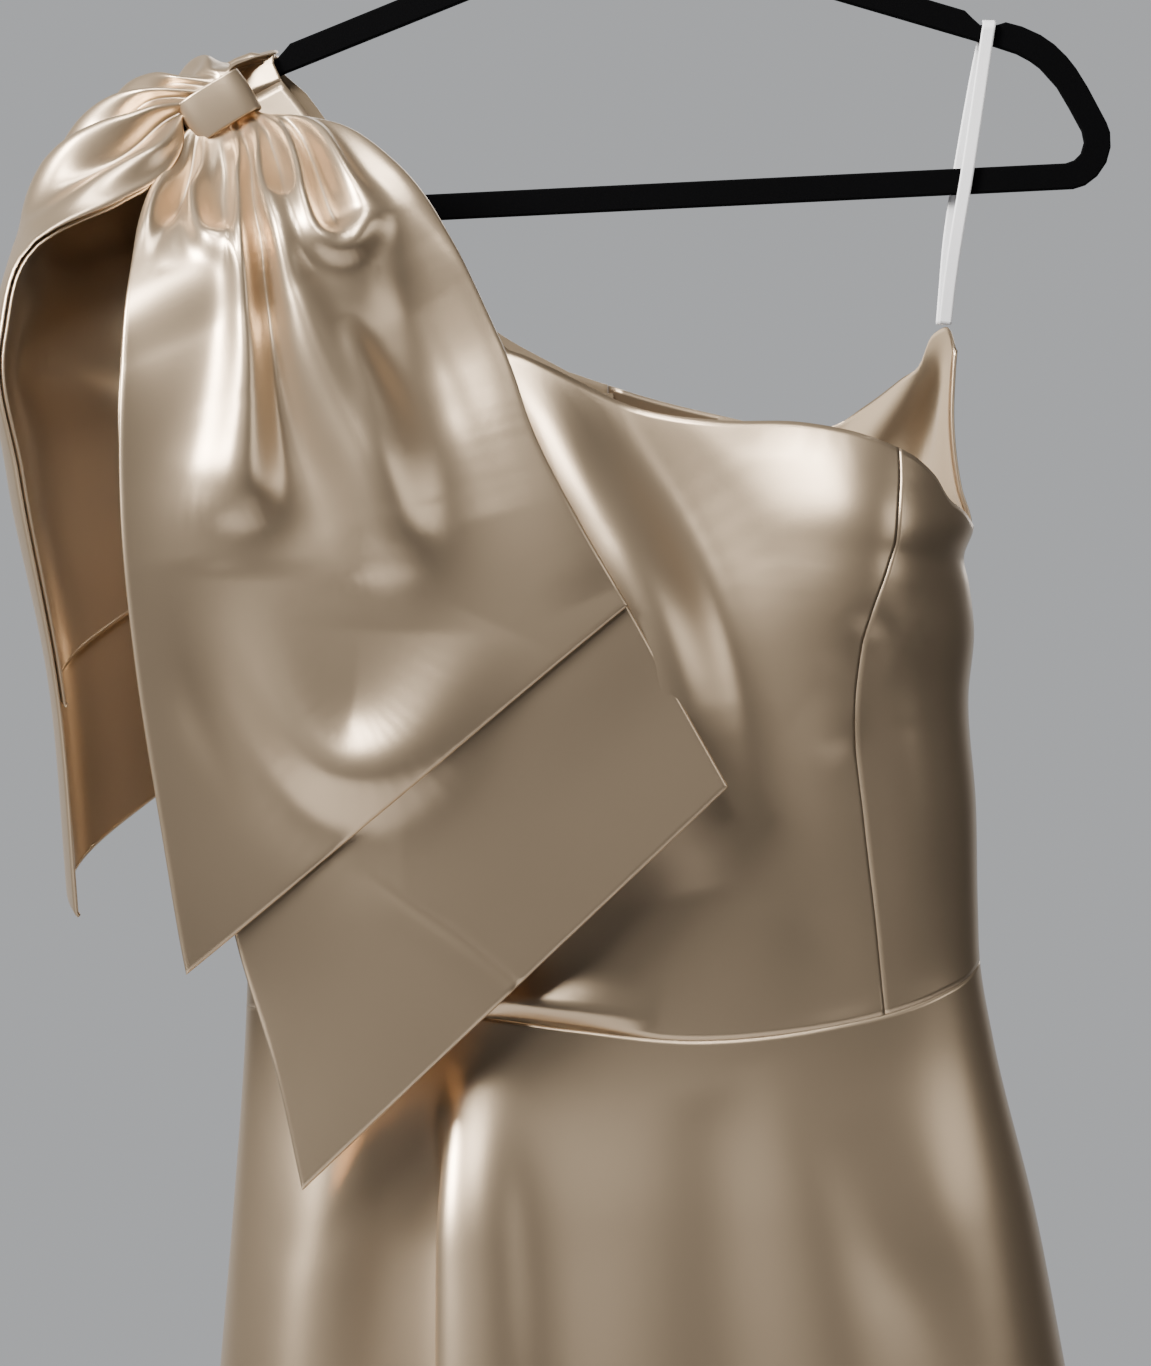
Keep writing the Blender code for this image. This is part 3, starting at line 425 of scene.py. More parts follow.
class Cloth:
    # A sheet built up from grids of points, thickened inward into a thin shell

    def __init__(self):
        self.points, self.quads = [], []

    def add(self, grid, sharedRow=None):
        # sharedRow sews the grid's first row onto points that are already there
        rows, columns = grid.shape[:2]
        numbers = np.full((rows, columns), -1)
        first = 0
        if sharedRow is not None:
            numbers[0] = sharedRow
            first = 1
        count = (rows - first) * columns
        numbers[first:] = np.arange(len(self.points), len(self.points) + count).reshape(-1, columns)
        self.points.extend(grid[first:].reshape(-1, 3))
        corners = np.stack([numbers[:-1, :-1], numbers[:-1, 1:], numbers[1:, 1:], numbers[1:, :-1]], axis=-1)
        self.quads.extend(corners.reshape(-1, 4).tolist())
        return numbers

    def build(self, name, outward):
        node, slotName, thickness, outerLook, innerLook = pieces[name][:5]
        points = np.array(self.points) * mm
        mesh = bpy.data.meshes.new(name)
        mesh.from_pydata(points.tolist(), [], self.quads)
        mesh.materials.append(looks[outerLook])
        mesh.materials.append(looks[innerLook])
        mesh.update()
        middle = mesh.polygons[len(mesh.polygons) // 2]
        if middle.normal.dot(outward) < 0:
            mesh.flip_normals()
        mesh.shade_smooth()
        piece = bpy.data.objects.new(name, mesh)
        bpy.context.scene.collection.objects.link(piece)
        shell = piece.modifiers.new("thickness", "SOLIDIFY")
        shell.thickness = clothSettings[thickness] * mm
        shell.offset = -1
        shell.use_rim = True
        shell.material_offset = 1
        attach(piece, "root")
        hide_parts(node)
        return piece


def sheetPiece(name, outward, grid):
    cloth = Cloth()
    cloth.add(grid)
    cloth.build(name, outward)


def stepsWith(place, before, after):
    # Steps from 0 to 1 with one of them exactly at a place
    return np.concatenate([np.linspace(0, place, before + 1), np.linspace(place, 1, after + 1)[1:]])


def acrossAt(point, leftSeam, rightSeam):
    # How far across a panel a point lies, from 0 at its left seam to 1 at its right
    x, z = np.array([point[0]], float), np.array([point[1]], float)
    left, right = leftSeam(z), rightSeam(z)
    return float(((angleOf(x, z) - left) / (right - left))[0])


def panel(leftSeam, rightSeam, bottom, top, columns, rows, isFront):
    # A grid on the tube between two seams, from a bottom line to a top line
    def edge(line):
        line = alongLine(line)
        left, right = leftSeam(line[:, 1]), rightSeam(line[:, 1])
        place = (angleOf(line[:, 0], line[:, 1]) - left) / (right - left)
        order = np.argsort(place)
        return np.interp(columns, place[order], line[order, 1])

    low, high = edge(bottom), edge(top)
    rise = np.asarray(rows)[:, None]
    z = low[None, :] * (1 - rise) + high[None, :] * rise
    angle = leftSeam(z) * (1 - columns[None, :]) + rightSeam(z) * columns[None, :]
    return tubePoint(angle, z, isFront)


def strap(bottomRow, outerEdge, neckEdge, rows, isFront):
    # A grid on the tube that goes on from a panel's top row, between the strap's two edges
    first, last = bottomRow[0], bottomRow[-1]
    across = (bottomRow[:, 0] - first[0]) / (last[0] - first[0])
    outer, neck = alongLine(outerEdge), alongLine(neckEdge)
    step = np.asarray(rows) * (len(outer) - 1)
    index = np.arange(len(outer))
    left = np.stack([np.interp(step, index, outer[:, k]) for k in (0, 1)], axis=1)[:, None, :]
    right = np.stack([np.interp(step, index, neck[:, k]) for k in (0, 1)], axis=1)[:, None, :]
    flat = left * (1 - across[None, :, None]) + right * across[None, :, None]
    return tubePoint(angleOf(flat[..., 0], flat[..., 1]), flat[..., 1], isFront)


def trimmed(grid, left=0.0, right=0.0, bottom=0.0, top=0.0):
    # Draws the outermost lines of a grid in by an amount on each side
    grid = grid.copy()
    moves = [
        ((slice(None), 0), (slice(None), 1), left), ((slice(None), -1), (slice(None), -2), right),
        ((0, slice(None)), (1, slice(None)), bottom), ((-1, slice(None)), (-2, slice(None)), top),
    ]
    for edge, nextLine, amount in moves:
        if amount:
            way = grid[nextLine] - grid[edge]
            way /= np.linalg.norm(way, axis=-1, keepdims=True)
            grid[edge] += way * amount
    return grid


# Bodice
bodiceSettings = {
    "rows": 90, "quietRows": 0.03, "turnColumns": 30, "neckColumns": 50, "sideColumns": 40, "strapRows": 40,
}
bodiceCreases = [
    # x, z, half width, height
    [(-50, -285, 14, 0), (-38, -304, 14, 3), (-18, -345, 20, 7), (6, -387, 26, 10), (22, -425, 28, 10),
     (34, -480, 28, 6), (42, -530, 26, 0)],
    [(-10, -290, 12, 0), (8, -320, 16, -6), (32, -360, 20, -10), (52, -410, 22, -10), (66, -470, 24, -7),
     (76, -540, 24, 0)],
    [(110, -300, 34, 0), (115, -332, 36, 10), (114, -365, 36, 14), (109, -395, 34, 11),
     (106, -430, 32, 3), (104, -455, 30, 0)],
    [(100, -404, 9, 0), (112, -417, 9, -2), (124, -424, 10, 0)],
    [(86, -446, 13, 0), (100, -456, 13, 2), (112, -462, 11, 0)],
    [(-66, -580, 14, 0), (-42, -584, 15, 8), (-18, -587, 15, 8), (6, -590, 15, 3), (18, -592, 14, 0)],
    [(82, -520, 20, 0), (93, -555, 20, -2.5), (104, -580, 18, -1.5), (112, -592, 16, 0)],
    [(128, -400, 14, 0), (131, -450, 14, 1.6), (137, -520, 16, 1.5), (141, -570, 16, 0)],
    [(-150, -430, 14, 0), (-120, -470, 16, -4), (-90, -520, 18, -3), (-80, -560, 18, 0)],
]
backCreases = [
    # x, z, half width, height
    [(-120, -330, 14, 0), (-90, -370, 18, 5), (-55, -430, 20, 4), (-30, -500, 22, 0)],
    [(-60, -310, 12, 0), (-50, -360, 16, -4), (-25, -420, 18, -4), (-15, -470, 18, 0)],
    [(110, -350, 14, 0), (90, -400, 18, 4), (70, -460, 20, 3), (50, -520, 20, 0)],
    [(60, -330, 12, 0), (50, -380, 15, -4), (38, -440, 18, -3), (30, -500, 18, 0)],
    [(-110, -520, 16, 0), (-60, -548, 14, 3), (-20, -562, 12, 0)],
    [(120, -500, 16, 0), (70, -540, 14, 3), (26, -560, 12, 0)],
]


def frontPanels():
    rows = np.linspace(0, 1, bodiceSettings["rows"])
    quietRows, turnColumns = bodiceSettings["quietRows"], bodiceSettings["turnColumns"]
    turnColumn = acrossAt(necklineFront[1], leftPrincess, rightPrincess)
    columns = stepsWith(turnColumn, turnColumns, bodiceSettings["neckColumns"])
    grid, normals = panel(leftPrincess, rightPrincess, waistFront, necklineFront, columns, rows, True)
    grid = creased(grid, normals, bodiceCreases, onFront, quietRows)
    grid = trimmed(grid, seamTrim, seamTrim, seamTrim)
    cloth = Cloth()
    numbers = cloth.add(grid)
    strapColumns = slice(0, turnColumns + 1)
    strapRows = np.linspace(0, 1, bodiceSettings["strapRows"])
    high, normals = strap(grid[-1, strapColumns], strapFrontOuter, strapFrontNeck, strapRows, True)
    cloth.add(creased(high, normals, bodiceCreases, onFront), numbers[-1, strapColumns])
    cloth.build("frontCentre", towardsFront)
    sides = [
        ("frontSideLeft", leftSide, leftPrincess, armholeFront),
        ("frontSideRight", rightPrincess, rightSide, sideTopFront),
    ]
    columns = np.linspace(0, 1, bodiceSettings["sideColumns"])
    for name, leftSeam, rightSeam, top in sides:
        grid, normals = panel(leftSeam, rightSeam, waistFront, top, columns, rows, True)
        grid = creased(grid, normals, bodiceCreases, onFront, quietRows)
        sheetPiece(name, towardsFront, trimmed(grid, seamTrim, seamTrim, seamTrim))


# The strap goes over the hanger's arm and ends at the front of it
armSettings = {
    "thickness": 5.0, "clearance": 1.0, "below": 2.2, "above": 4.0, "turnStep": 15,
    "frontSteps": (0.25, 0.5, 0.75, 1.0),
}
armTopLine = [
    (-210.6, -197), (-201.8, -175.7), (-195.1, -164.5), (-184.1, -153.5), (-175.9, -148.8), (-168.5, -146),
    (-166.5, -146.2), (-161.9, -147), (-156.5, -146),
]


def armStrap(across):
    half = armSettings["thickness"] / 2 + armSettings["clearance"] + clothSettings["bodice"]
    above = armSettings["above"] + clothSettings["bodice"]
    topX = strapTop[0] * (1 - across) + strapTop[1] * across
    topZ = np.interp(topX, [row[0] for row in armTopLine], [row[1] for row in armTopLine])
    rows = []
    for degrees in range(0, 181, armSettings["turnStep"]):
        turn = math.radians(degrees)
        y = np.full(across.shape, half * math.cos(turn))
        z = topZ - armSettings["below"] + above * math.sin(turn)
        rows.append(np.stack([topX, y, z], axis=1))
    seamX = strapFrontOuter[-1][0] * (1 - across) + strapFrontNeck[-1][0] * across
    seamZ = strapFrontOuter[-1][1] * (1 - across) + strapFrontNeck[-1][1] * across
    seamPoint, _ = tubePoint(angleOf(seamX, seamZ), seamZ, True)
    seamPoint = seamPoint + np.array([0, 0, clothSettings["seamGap"]])
    start = rows[-1]
    for step in armSettings["frontSteps"]:
        rows.append(start * (1 - step) + seamPoint * step)
    return np.array(rows)


# The ribbon pulls the top of the right back into a peak, with folds that run from it
peak = {
    "x": 154.7, "z": -270.0, "pull": 0.75, "reach": 45.0, "foldStart": 22, "fadeFrom": 0.6, "fadeRun": 0.9,
}
peakFolds = [
    # end x, end z, inward, half width
    (98, -326, -3.0, 6), (112, -334, 8.0, 9), (141, -345, -7.0, 6), (156, -356, 2.5, 6),
]


def peakShape(grid, normals):
    x, z = grid[..., 0], grid[..., 2]
    distance = np.hypot(x - peak["x"], z - peak["z"])
    grid = grid.copy()
    grid[..., 1] *= 1 - peak["pull"] * np.exp(-(distance / peak["reach"]) ** 2)
    for endX, endZ, inward, halfWidth in peakFolds:
        way = np.array([endX - peak["x"], endZ - peak["z"]])
        length = np.linalg.norm(way)
        way = way / length
        run = (x - peak["x"]) * way[0] + (z - peak["z"]) * way[1]
        off = (x - peak["x"]) * way[1] - (z - peak["z"]) * way[0]
        ending = smooth((run - peak["fadeFrom"] * length) / (peak["fadeRun"] * length))
        fade = smooth(run / peak["foldStart"]) * (1 - ending)
        grid -= normals * (inward * fade * np.exp(-(off / halfWidth) ** 2))[..., None]
    return grid


backSettings = {
    "armholeColumns": 10, "strapColumns": 30, "neckColumns": 5, "strapShare": 0.95, "strapRows": 36,
    "rightColumns": 90, "rightRows": 110,
}
liningPart = {"rows": slice(40, None), "columns": slice(12, -4), "topTrim": 0.6}  # what shows of the lining


def backLeftPanel():
    rows, quietRows = np.linspace(0, 1, bodiceSettings["rows"]), bodiceSettings["quietRows"]
    before, over, after = (backSettings[key] for key in ("armholeColumns", "strapColumns", "neckColumns"))
    top = armholeBack[:-1] + necklineBackLeft
    turnColumn = acrossAt(strapBackNeck[0], leftSide, centreBackSeam)
    shoulder = acrossAt(armholeBack[-1], leftSide, centreBackSeam)
    columns = np.concatenate([
        np.linspace(0, shoulder, before + 1)[:-1], np.linspace(shoulder, turnColumn, over + 1),
        np.linspace(turnColumn, 1, after + 1)[1:],
    ])
    grid, normals = panel(leftSide, centreBackSeam, waistBack, top, columns, rows, False)
    grid = creased(grid, normals, backCreases, onBack, quietRows)
    grid = trimmed(grid, seamTrim, seamTrim, seamTrim)
    cloth = Cloth()
    numbers = cloth.add(grid)
    strapColumns = slice(before, before + over + 1)
    strapRows = np.linspace(0, backSettings["strapShare"], backSettings["strapRows"])
    high, normals = strap(grid[-1, strapColumns], strapBackOuter, strapBackNeck, strapRows, False)
    high = creased(high, normals, backCreases, onBack)
    cloth.add(np.concatenate([high, armStrap(np.linspace(0, 1, over + 1))]), numbers[-1, strapColumns])
    cloth.build("backLeft", towardsBack)


def backRightPanel():
    quietRows = bodiceSettings["quietRows"]
    columns = np.linspace(0, 1, backSettings["rightColumns"])
    rows = np.linspace(0, 1, backSettings["rightRows"])
    grid, normals = panel(centreBackSeam, rightSide, waistBack, necklineBackRight, columns, rows, False)
    grid = peakShape(creased(grid, normals, backCreases, onBack, quietRows), normals)
    sheetPiece("backRight", towardsBack, trimmed(grid, seamTrim, seamTrim, seamTrim))
    part = (liningPart["rows"], liningPart["columns"])
    lining = grid[part] - normals[part] * (clothSettings["bodice"] + clothSettings["seamGap"])
    sheetPiece("backLining", towardsBack, trimmed(lining, top=liningPart["topTrim"]))


# Skirt
skirtSettings = {
    "hemLeft": -1336.0, "hemRight": -1322.0, "rows": 110, "rowSpread": 1.25, "leftColumns": 24,
    "rightColumns": 60, "backColumns": 60, "waistLevel": -590.0, "hemLevel": -1330.0,
}
waveSettings = {"height": 9.0, "front": 3.5, "back": 3.0, "top": -600, "run": 700}
pleatSettings = {
    "x": -78.0, "roll": 20.0, "rollWidth": 14.0, "height": 24.0, "heightWidth": 24.0, "top": -592.0,
    "full": -690.0, "growth": 0.4, "growthRun": 650, "reach": 60, "columns": 61, "columnSpread": 1.4,
}
skirtCreases = [
    # x, z, half width, height
    [(-60, -615, 14, 0), (-54, -680, 18, 4), (-49, -760, 20, 7), (-46, -900, 22, 8.5),
     (-44, -1100, 25, 9.5), (-42, -1345, 28, 10)],
    [(5, -620, 25.3, 0), (8, -700, 29.9, 1), (10, -800, 34.5, 2.1), (12, -1000, 43.7, 3.5),
     (14, -1345, 52.9, 4.9)],
    [(38, -620, 13.8, 0), (44.5, -650, 16.1, -2.1), (51, -740, 23, -3.8), (62, -900, 32.2, -5.6),
     (78, -1100, 41.4, -6.3), (95, -1345, 50.6, -7)],
    [(66, -606, 13.8, 0), (78, -650, 18.4, 2.1), (95, -740, 25.3, 3.8), (125, -900, 34.5, 4.9),
     (160, -1100, 43.7, 5.6), (190, -1345, 52.9, 6.3)],
    [(110, -630, 16.1, 0), (127, -688, 20.7, -2.1), (150, -740, 25.3, -3.5), (178, -900, 32.2, -4.2),
     (210, -1100, 39.1, -4.9), (240, -1345, 46, -5.6)],
    [(-132, -640, 16.1, 0), (-138, -690, 19.5, 2.8), (-147, -740, 23, 4.2), (-155, -900, 29.9, 4.9),
     (-165, -1100, 36.8, 5.6), (-175, -1345, 41.4, 5.6)],
    [(-106, -610, 9.2, 0), (-109, -680, 12.6, -2.8), (-113, -740, 16.1, -4.9), (-119, -900, 23, -5.6),
     (-124, -1100, 29.9, -5.6), (-132, -1345, 36.8, -5.6)],
]
skirtBackCreases = [
    # x, z, half width, height
    [(-120, -620, 16, 0), (-126, -760, 24, 4), (-136, -960, 32, 6.4), (-150, -1345, 42, 7.2)],
    [(-70, -620, 14, 0), (-76, -760, 22, -4), (-84, -960, 30, -6.4), (-96, -1345, 40, -7.2)],
    [(-34, -640, 16, 0), (-36, -800, 24, 3.2), (-38, -1000, 32, 5.6), (-42, -1345, 40, 6.4)],
    [(50, -630, 16, 0), (58, -780, 24, 4), (72, -1000, 34, 6.4), (96, -1345, 44, 7.2)],
    [(96, -620, 14, 0), (110, -760, 22, -4), (134, -960, 30, -6.4), (170, -1345, 42, -7.2)],
    [(136, -630, 16, 0), (160, -780, 22, 3.2), (194, -1000, 30, 4.8), (232, -1345, 36, 5.6)],
]


def hemHeight(x):
    left, right = bodySections[-1][1:3]
    low, high = skirtSettings["hemLeft"], skirtSettings["hemRight"]
    return low + (high - low) * (x - left) / (right - left)


def skirtGrid(waist, anglesAt, rows, isFront):
    # The waist line's height is found in a few rounds, as it changes with the place across
    rounds = 4
    line = alongLine(waist)
    level = skirtSettings["waistLevel"]
    top = np.full(anglesAt(np.full(1, level)).shape[1], level)
    for _ in range(rounds):
        topAngle = np.diagonal(anglesAt(top))
        top = np.interp(tubePoint(topAngle, top, isFront)[0][:, 0], line[:, 0], line[:, 1])
    lowAngle = anglesAt(np.full(1, skirtSettings["hemLevel"]))[0]
    low, _ = tubePoint(lowAngle, np.full(lowAngle.shape, skirtSettings["hemLevel"]), isFront)
    fall = np.asarray(rows)[:, None]
    z = hemHeight(low[:, 0])[None, :] * (1 - fall) + top[None, :] * fall
    angle = np.stack([anglesAt(z[:, k])[:, k] for k in range(z.shape[1])], axis=1)
    points, normals = tubePoint(angle, z, isFront)
    return points, normals, angle


def pleated(points, normals, distance):
    # The cloth rolls over itself at the pleat and stands out beside it, more towards the hem
    z = points[..., 2]
    size = smooth((pleatSettings["top"] - z) / (pleatSettings["top"] - pleatSettings["full"]))
    roll = distance / pleatSettings["rollWidth"]
    rise = distance / pleatSettings["heightWidth"]
    points = points.copy()
    points[..., 0] -= pleatSettings["roll"] * roll * np.exp(-roll**2) * size
    growth = 1 + pleatSettings["growth"] * smooth((pleatSettings["full"] - z) / pleatSettings["growthRun"])
    return points + normals * (pleatSettings["height"] * growth * rise * np.exp(-rise**2) * size)[..., None]


def waved(points, normals, angle, waves):
    # Soft waves round the skirt, which grow towards the hem
    fall = smooth((waveSettings["top"] - points[..., 2]) / waveSettings["run"])
    wave = np.cos(2 * waves * (angle - math.pi / 2)) * np.sin(angle) ** 2
    return points + normals * (waveSettings["height"] * fall * wave)[..., None]


def skirtPanels():
    # Rows run from the hem up and are closest at the waist; the front's columns are closest at the pleat
    rows = (1 - np.linspace(0, 1, skirtSettings["rows"]) ** skirtSettings["rowSpread"])[::-1]
    spread = np.linspace(-1, 1, pleatSettings["columns"])
    steps = pleatSettings["reach"] * np.sign(spread) * np.abs(spread) ** pleatSettings["columnSpread"]
    toLeft = np.linspace(0, 1, skirtSettings["leftColumns"])[None, :-1]
    toRight = np.linspace(0, 1, skirtSettings["rightColumns"])[None, 1:]

    def frontAngles(z):
        fold = pleatSettings["x"] + steps[None, :] + 0 * z[:, None]
        middle = angleOf(fold, z[:, None] + 0 * fold)
        left = math.pi + (middle[:, :1] - math.pi) * toLeft
        right = middle[:, -1:] * (1 - toRight)
        return np.concatenate([left, middle, right], axis=1)

    points, normals, angle = skirtGrid(waistFront, frontAngles, rows, True)
    grid = waved(points, normals, angle, waveSettings["front"])
    folds = creaseHeight(points, skirtCreases, onFront)[..., None]
    grid = pleated(grid + normals * folds, normals, points[..., 0] - pleatSettings["x"])
    sheetPiece("skirtFront", towardsFront, trimmed(grid, seamTrim, seamTrim, 0, seamTrim))
    halves = [("skirtBackLeft", leftSide, centreBackSeam), ("skirtBackRight", centreBackSeam, rightSide)]
    across = np.linspace(0, 1, skirtSettings["backColumns"])[None, :]
    for name, leftSeam, rightSeam in halves:

        def backAngles(z, leftSeam=leftSeam, rightSeam=rightSeam):
            return leftSeam(z)[:, None] * (1 - across) + rightSeam(z)[:, None] * across

        points, normals, angle = skirtGrid(waistBack, backAngles, rows, False)
        grid = waved(points, normals, angle, waveSettings["back"])
        grid = grid + normals * creaseHeight(points, skirtBackCreases, onBack)[..., None]
        sheetPiece(name, towardsBack, trimmed(grid, seamTrim, seamTrim, 0, seamTrim))


# Bow
stripSettings = {
    "bowUpper": {"start": -1.25, "end": 1.00, "firstEdge": 0.0, "depth": 0.0},
    "bowLower": {"start": -1.00, "end": 1.35, "firstEdge": 0.11, "depth": 2.5},
}
bowGrid = {
    "sideRows": 50, "knotRows": 130, "frontRows": 70, "columns": 181, "knotFrom": -0.3, "knotTo": 0.4,
    "narrowFrom": 0.35, "narrowRun": 0.4, "flatReach": 0.05, "flatFade": 0.09,
}
edgeSettings = {
    "reach": 2.4, "depth": 1.5, "squareness": 0.98, "margin": 0.012, "steps": (0, 0.12, 0.3, 0.55, 0.8),
}
# Guide lines along the strips. along is 0 at the knot, below 0 on the side tails, above 0 on the front tails
bowSections = [
    # along, then the first edge, the second line, the third line and the last edge, each as (x, y, z)
    (-1.25, (-240, -86, -540), (-237, -40, -510), (-200, -10, -478), (-186, 60, -440)),
    (-1.00, (-248, -84, -447), (-244, -38, -420), (-204, -8, -388), (-188, 62, -350)),
    (-0.70, (-266, -88, -345), (-263, -40, -335), (-220, -8, -310), (-193, 60, -285)),
    (-0.45, (-274, -88, -282), (-272, -42, -265), (-234, -4, -245), (-186, 52, -215)),
    (-0.30, (-260, -78, -238), (-270, -40, -226), (-252, 12, -198), (-174, 38, -166)),
    (-0.19, (-222, -57, -217), (-249, -30, -194), (-232, 4, -167), (-160, 14, -141)),
    (-0.11, (-201, -44, -200.7), (-224, -29, -176), (-208, -12, -158), (-158, -4, -143)),
    (-0.07, (-196.5, -33, -187.6), (-208, -28, -168), (-197, -21, -157), (-168, -15, -148)),
    (-0.04, (-197.7, -26, -175.5), (-190.5, -26.5, -168), (-183.6, -26.5, -159.2), (-175.6, -26, -154)),
    (0.00, (-191.3, -26, -177.6), (-184.7, -26.5, -173.5), (-178.2, -26.5, -169.5), (-171.7, -26, -165.4)),
    (0.04, (-197, -29, -183.5), (-184, -28, -183), (-171.4, -26.5, -178.7), (-163, -26, -173.5)),
    (0.08, (-203, -34, -197), (-182, -42, -199), (-164, -42, -189), (-146, -35, -176)),
    (0.14, (-212, -52, -219), (-184, -60, -217), (-154, -60, -202), (-122, -46, -184)),
    (0.21, (-216.6, -82, -252.3), (-180.9, -84, -240.1), (-140.8, -82, -224.3), (-98.6, -60, -203.2)),
    (0.32, (-218.4, -97, -296.5), (-177, -91, -279), (-127.8, -89, -258.3), (-74.6, -72, -237.3)),
    (0.46, (-218.2, -103, -353.6), (-169.2, -93, -332.9), (-110, -90, -310.1), (-51.8, -78, -282.9)),
    (0.65, (-211.6, -104, -426.2), (-155.3, -94, -397.9), (-95, -91, -368), (-35.9, -82, -326.5)),
    (0.83, (-200.3, -103, -499.1), (-140.2, -93, -457), (-78, -91, -411), (-15, -85, -366.2)),
    (1.00, (-189.3, -99, -564.7), (-125.1, -91, -511), (-60, -90, -456), (6, -86, -401.1)),
    (1.20, (-174, -81, -631), (-106, -88, -568), (-39, -87, -505), (28.5, -82, -442)),
    (1.35, (-163, -82, -684), (-92, -86, -617), (-20, -85, -549), (51, -80, -482)),
]
# Creases of the bow, ridges above 0 and troughs below. across goes from 0 at the first edge to 1 at the last
frontCreases = [
    # along, across, half width, height
    # Gathers under the knot, from the left edge to the right
    [(0.045, 0.02, 2, 0.7), (0.08, 0.03, 4, 4), (0.12, 0.05, 6, 7), (0.165, 0.085, 8, 8),
     (0.185, 0.1, 9, 5), (0.22, 0.12, 10, 0)],
    [(0.045, 0.16, 1.5, -0.7), (0.09, 0.16, 3, -4), (0.137, 0.15, 4, -7), (0.18, 0.12, 5, -4),
     (0.22, 0.1, 8, 0)],
    [(0.045, 0.24, 1.8, 0.7), (0.09, 0.235, 3.5, 4), (0.144, 0.285, 5, 7), (0.175, 0.305, 6, 7),
     (0.205, 0.345, 7, 6), (0.22, 0.4, 8, 3), (0.222, 0.43, 8, 0)],
    [(0.06, 0.4, 2, -0.5), (0.1, 0.41, 5, -5), (0.15, 0.4, 8, -7), (0.18, 0.385, 8, -6), (0.205, 0.38, 8, 0)],
    [(0.045, 0.54, 1.8, 0.7), (0.108, 0.515, 4, 4), (0.17, 0.49, 5.5, 6), (0.234, 0.454, 7, 7),
     (0.309, 0.446, 10, 9), (0.36, 0.434, 13, 11), (0.413, 0.406, 16, 13), (0.454, 0.378, 18, 14),
     (0.497, 0.345, 20, 14), (0.53, 0.313, 20, 10), (0.559, 0.293, 21, 5), (0.605, 0.269, 22, 0)],
    [(0.045, 0.63, 1.5, -0.7), (0.117, 0.57, 2.5, -5), (0.179, 0.522, 3.5, -9), (0.243, 0.506, 4.5, -12),
     (0.317, 0.49, 6, -13), (0.368, 0.478, 7, -12), (0.422, 0.462, 9, -10), (0.479, 0.45, 12, -7),
     (0.542, 0.434, 16, -3), (0.617, 0.406, 20, 0)],
    [(0.045, 0.74, 1.8, 0.7), (0.114, 0.64, 4, 4), (0.174, 0.594, 6, 6), (0.276, 0.574, 9, 8),
     (0.338, 0.582, 12, 10), (0.398, 0.59, 15, 12), (0.475, 0.61, 18, 14), (0.548, 0.634, 20, 15),
     (0.626, 0.646, 22, 14), (0.688, 0.634, 23, 9), (0.734, 0.618, 24, 4), (0.791, 0.586, 26, 0)],
    [(0.045, 0.85, 1.5, -0.6), (0.1, 0.73, 3, -5), (0.14, 0.68, 4.5, -7), (0.17, 0.65, 5, -6),
     (0.19, 0.64, 5, 0)],
    [(0.05, 0.93, 1.8, 0.7), (0.114, 0.8, 4, 5), (0.161, 0.743, 5, 7), (0.2, 0.7, 6, 8),
     (0.245, 0.685, 7, 8), (0.275, 0.715, 8, 7), (0.282, 0.76, 8, 6), (0.27, 0.8, 8, 4), (0.25, 0.84, 9, 0)],
    [(0.07, 0.95, 1.5, -0.6), (0.129, 0.85, 3.5, -7), (0.179, 0.79, 6, -9), (0.231, 0.76, 9, -8),
     (0.262, 0.76, 9, 0)],
    [(0.075, 0.99, 1.8, 0.6), (0.138, 0.9, 4, 5), (0.191, 0.85, 6, 7), (0.235, 0.84, 9, 6),
     (0.3, 0.86, 14, 3), (0.38, 0.88, 20, 0)],
    # Long soft folds, the hollow on the right and the swag below
    [(0.261, 0.883, 12, 0), (0.32, 0.875, 18, -6), (0.375, 0.859, 22, -10), (0.435, 0.851, 25, -10),
     (0.503, 0.839, 27, -7), (0.584, 0.839, 28, -3), (0.703, 0.819, 30, 0)],
    [(0.363, 0.675, 5, 0), (0.401, 0.683, 7, 4), (0.447, 0.695, 9, 5), (0.496, 0.703, 12, 4),
     (0.553, 0.707, 16, 2), (0.614, 0.703, 20, 0)],
    [(0.1, 1, 5, 1), (0.2, 0.98, 10, 4), (0.4, 0.985, 14, 6), (0.6, 0.985, 16, 6), (0.85, 0.98, 18, 4),
     (0.95, 0.97, 18, 0)],
    [(0.562, 0.273, 20, 0), (0.637, 0.265, 22, 2), (0.743, 0.285, 22, 6), (0.853, 0.333, 21, 10),
     (0.924, 0.414, 21, 11), (0.952, 0.53, 22, 9), (0.922, 0.646, 23, 5), (0.866, 0.755, 24, 0)],
    [(0.571, 0.193, 20, 0), (0.656, 0.185, 20, -4), (0.748, 0.193, 20, -8), (0.841, 0.241, 20, -8),
     (0.93, 0.309, 20, -5), (1.006, 0.39, 20, -2), (1.05, 0.462, 20, 0)],
    # The crossing crease of the lower tail
    [(1.04, 0.37, 3, 0), (1.116, 0.414, 2.4, -0.8), (1.162, 0.442, 2.4, -1), (1.252, 0.502, 2.4, -1),
     (1.35, 0.56, 2.4, -0.8)],
    [(1.05, 0.33, 16, 0), (1.116, 0.37, 16, 0.8), (1.162, 0.4, 16, 1), (1.252, 0.46, 16, 1),
     (1.35, 0.52, 16, 0.8)],
]
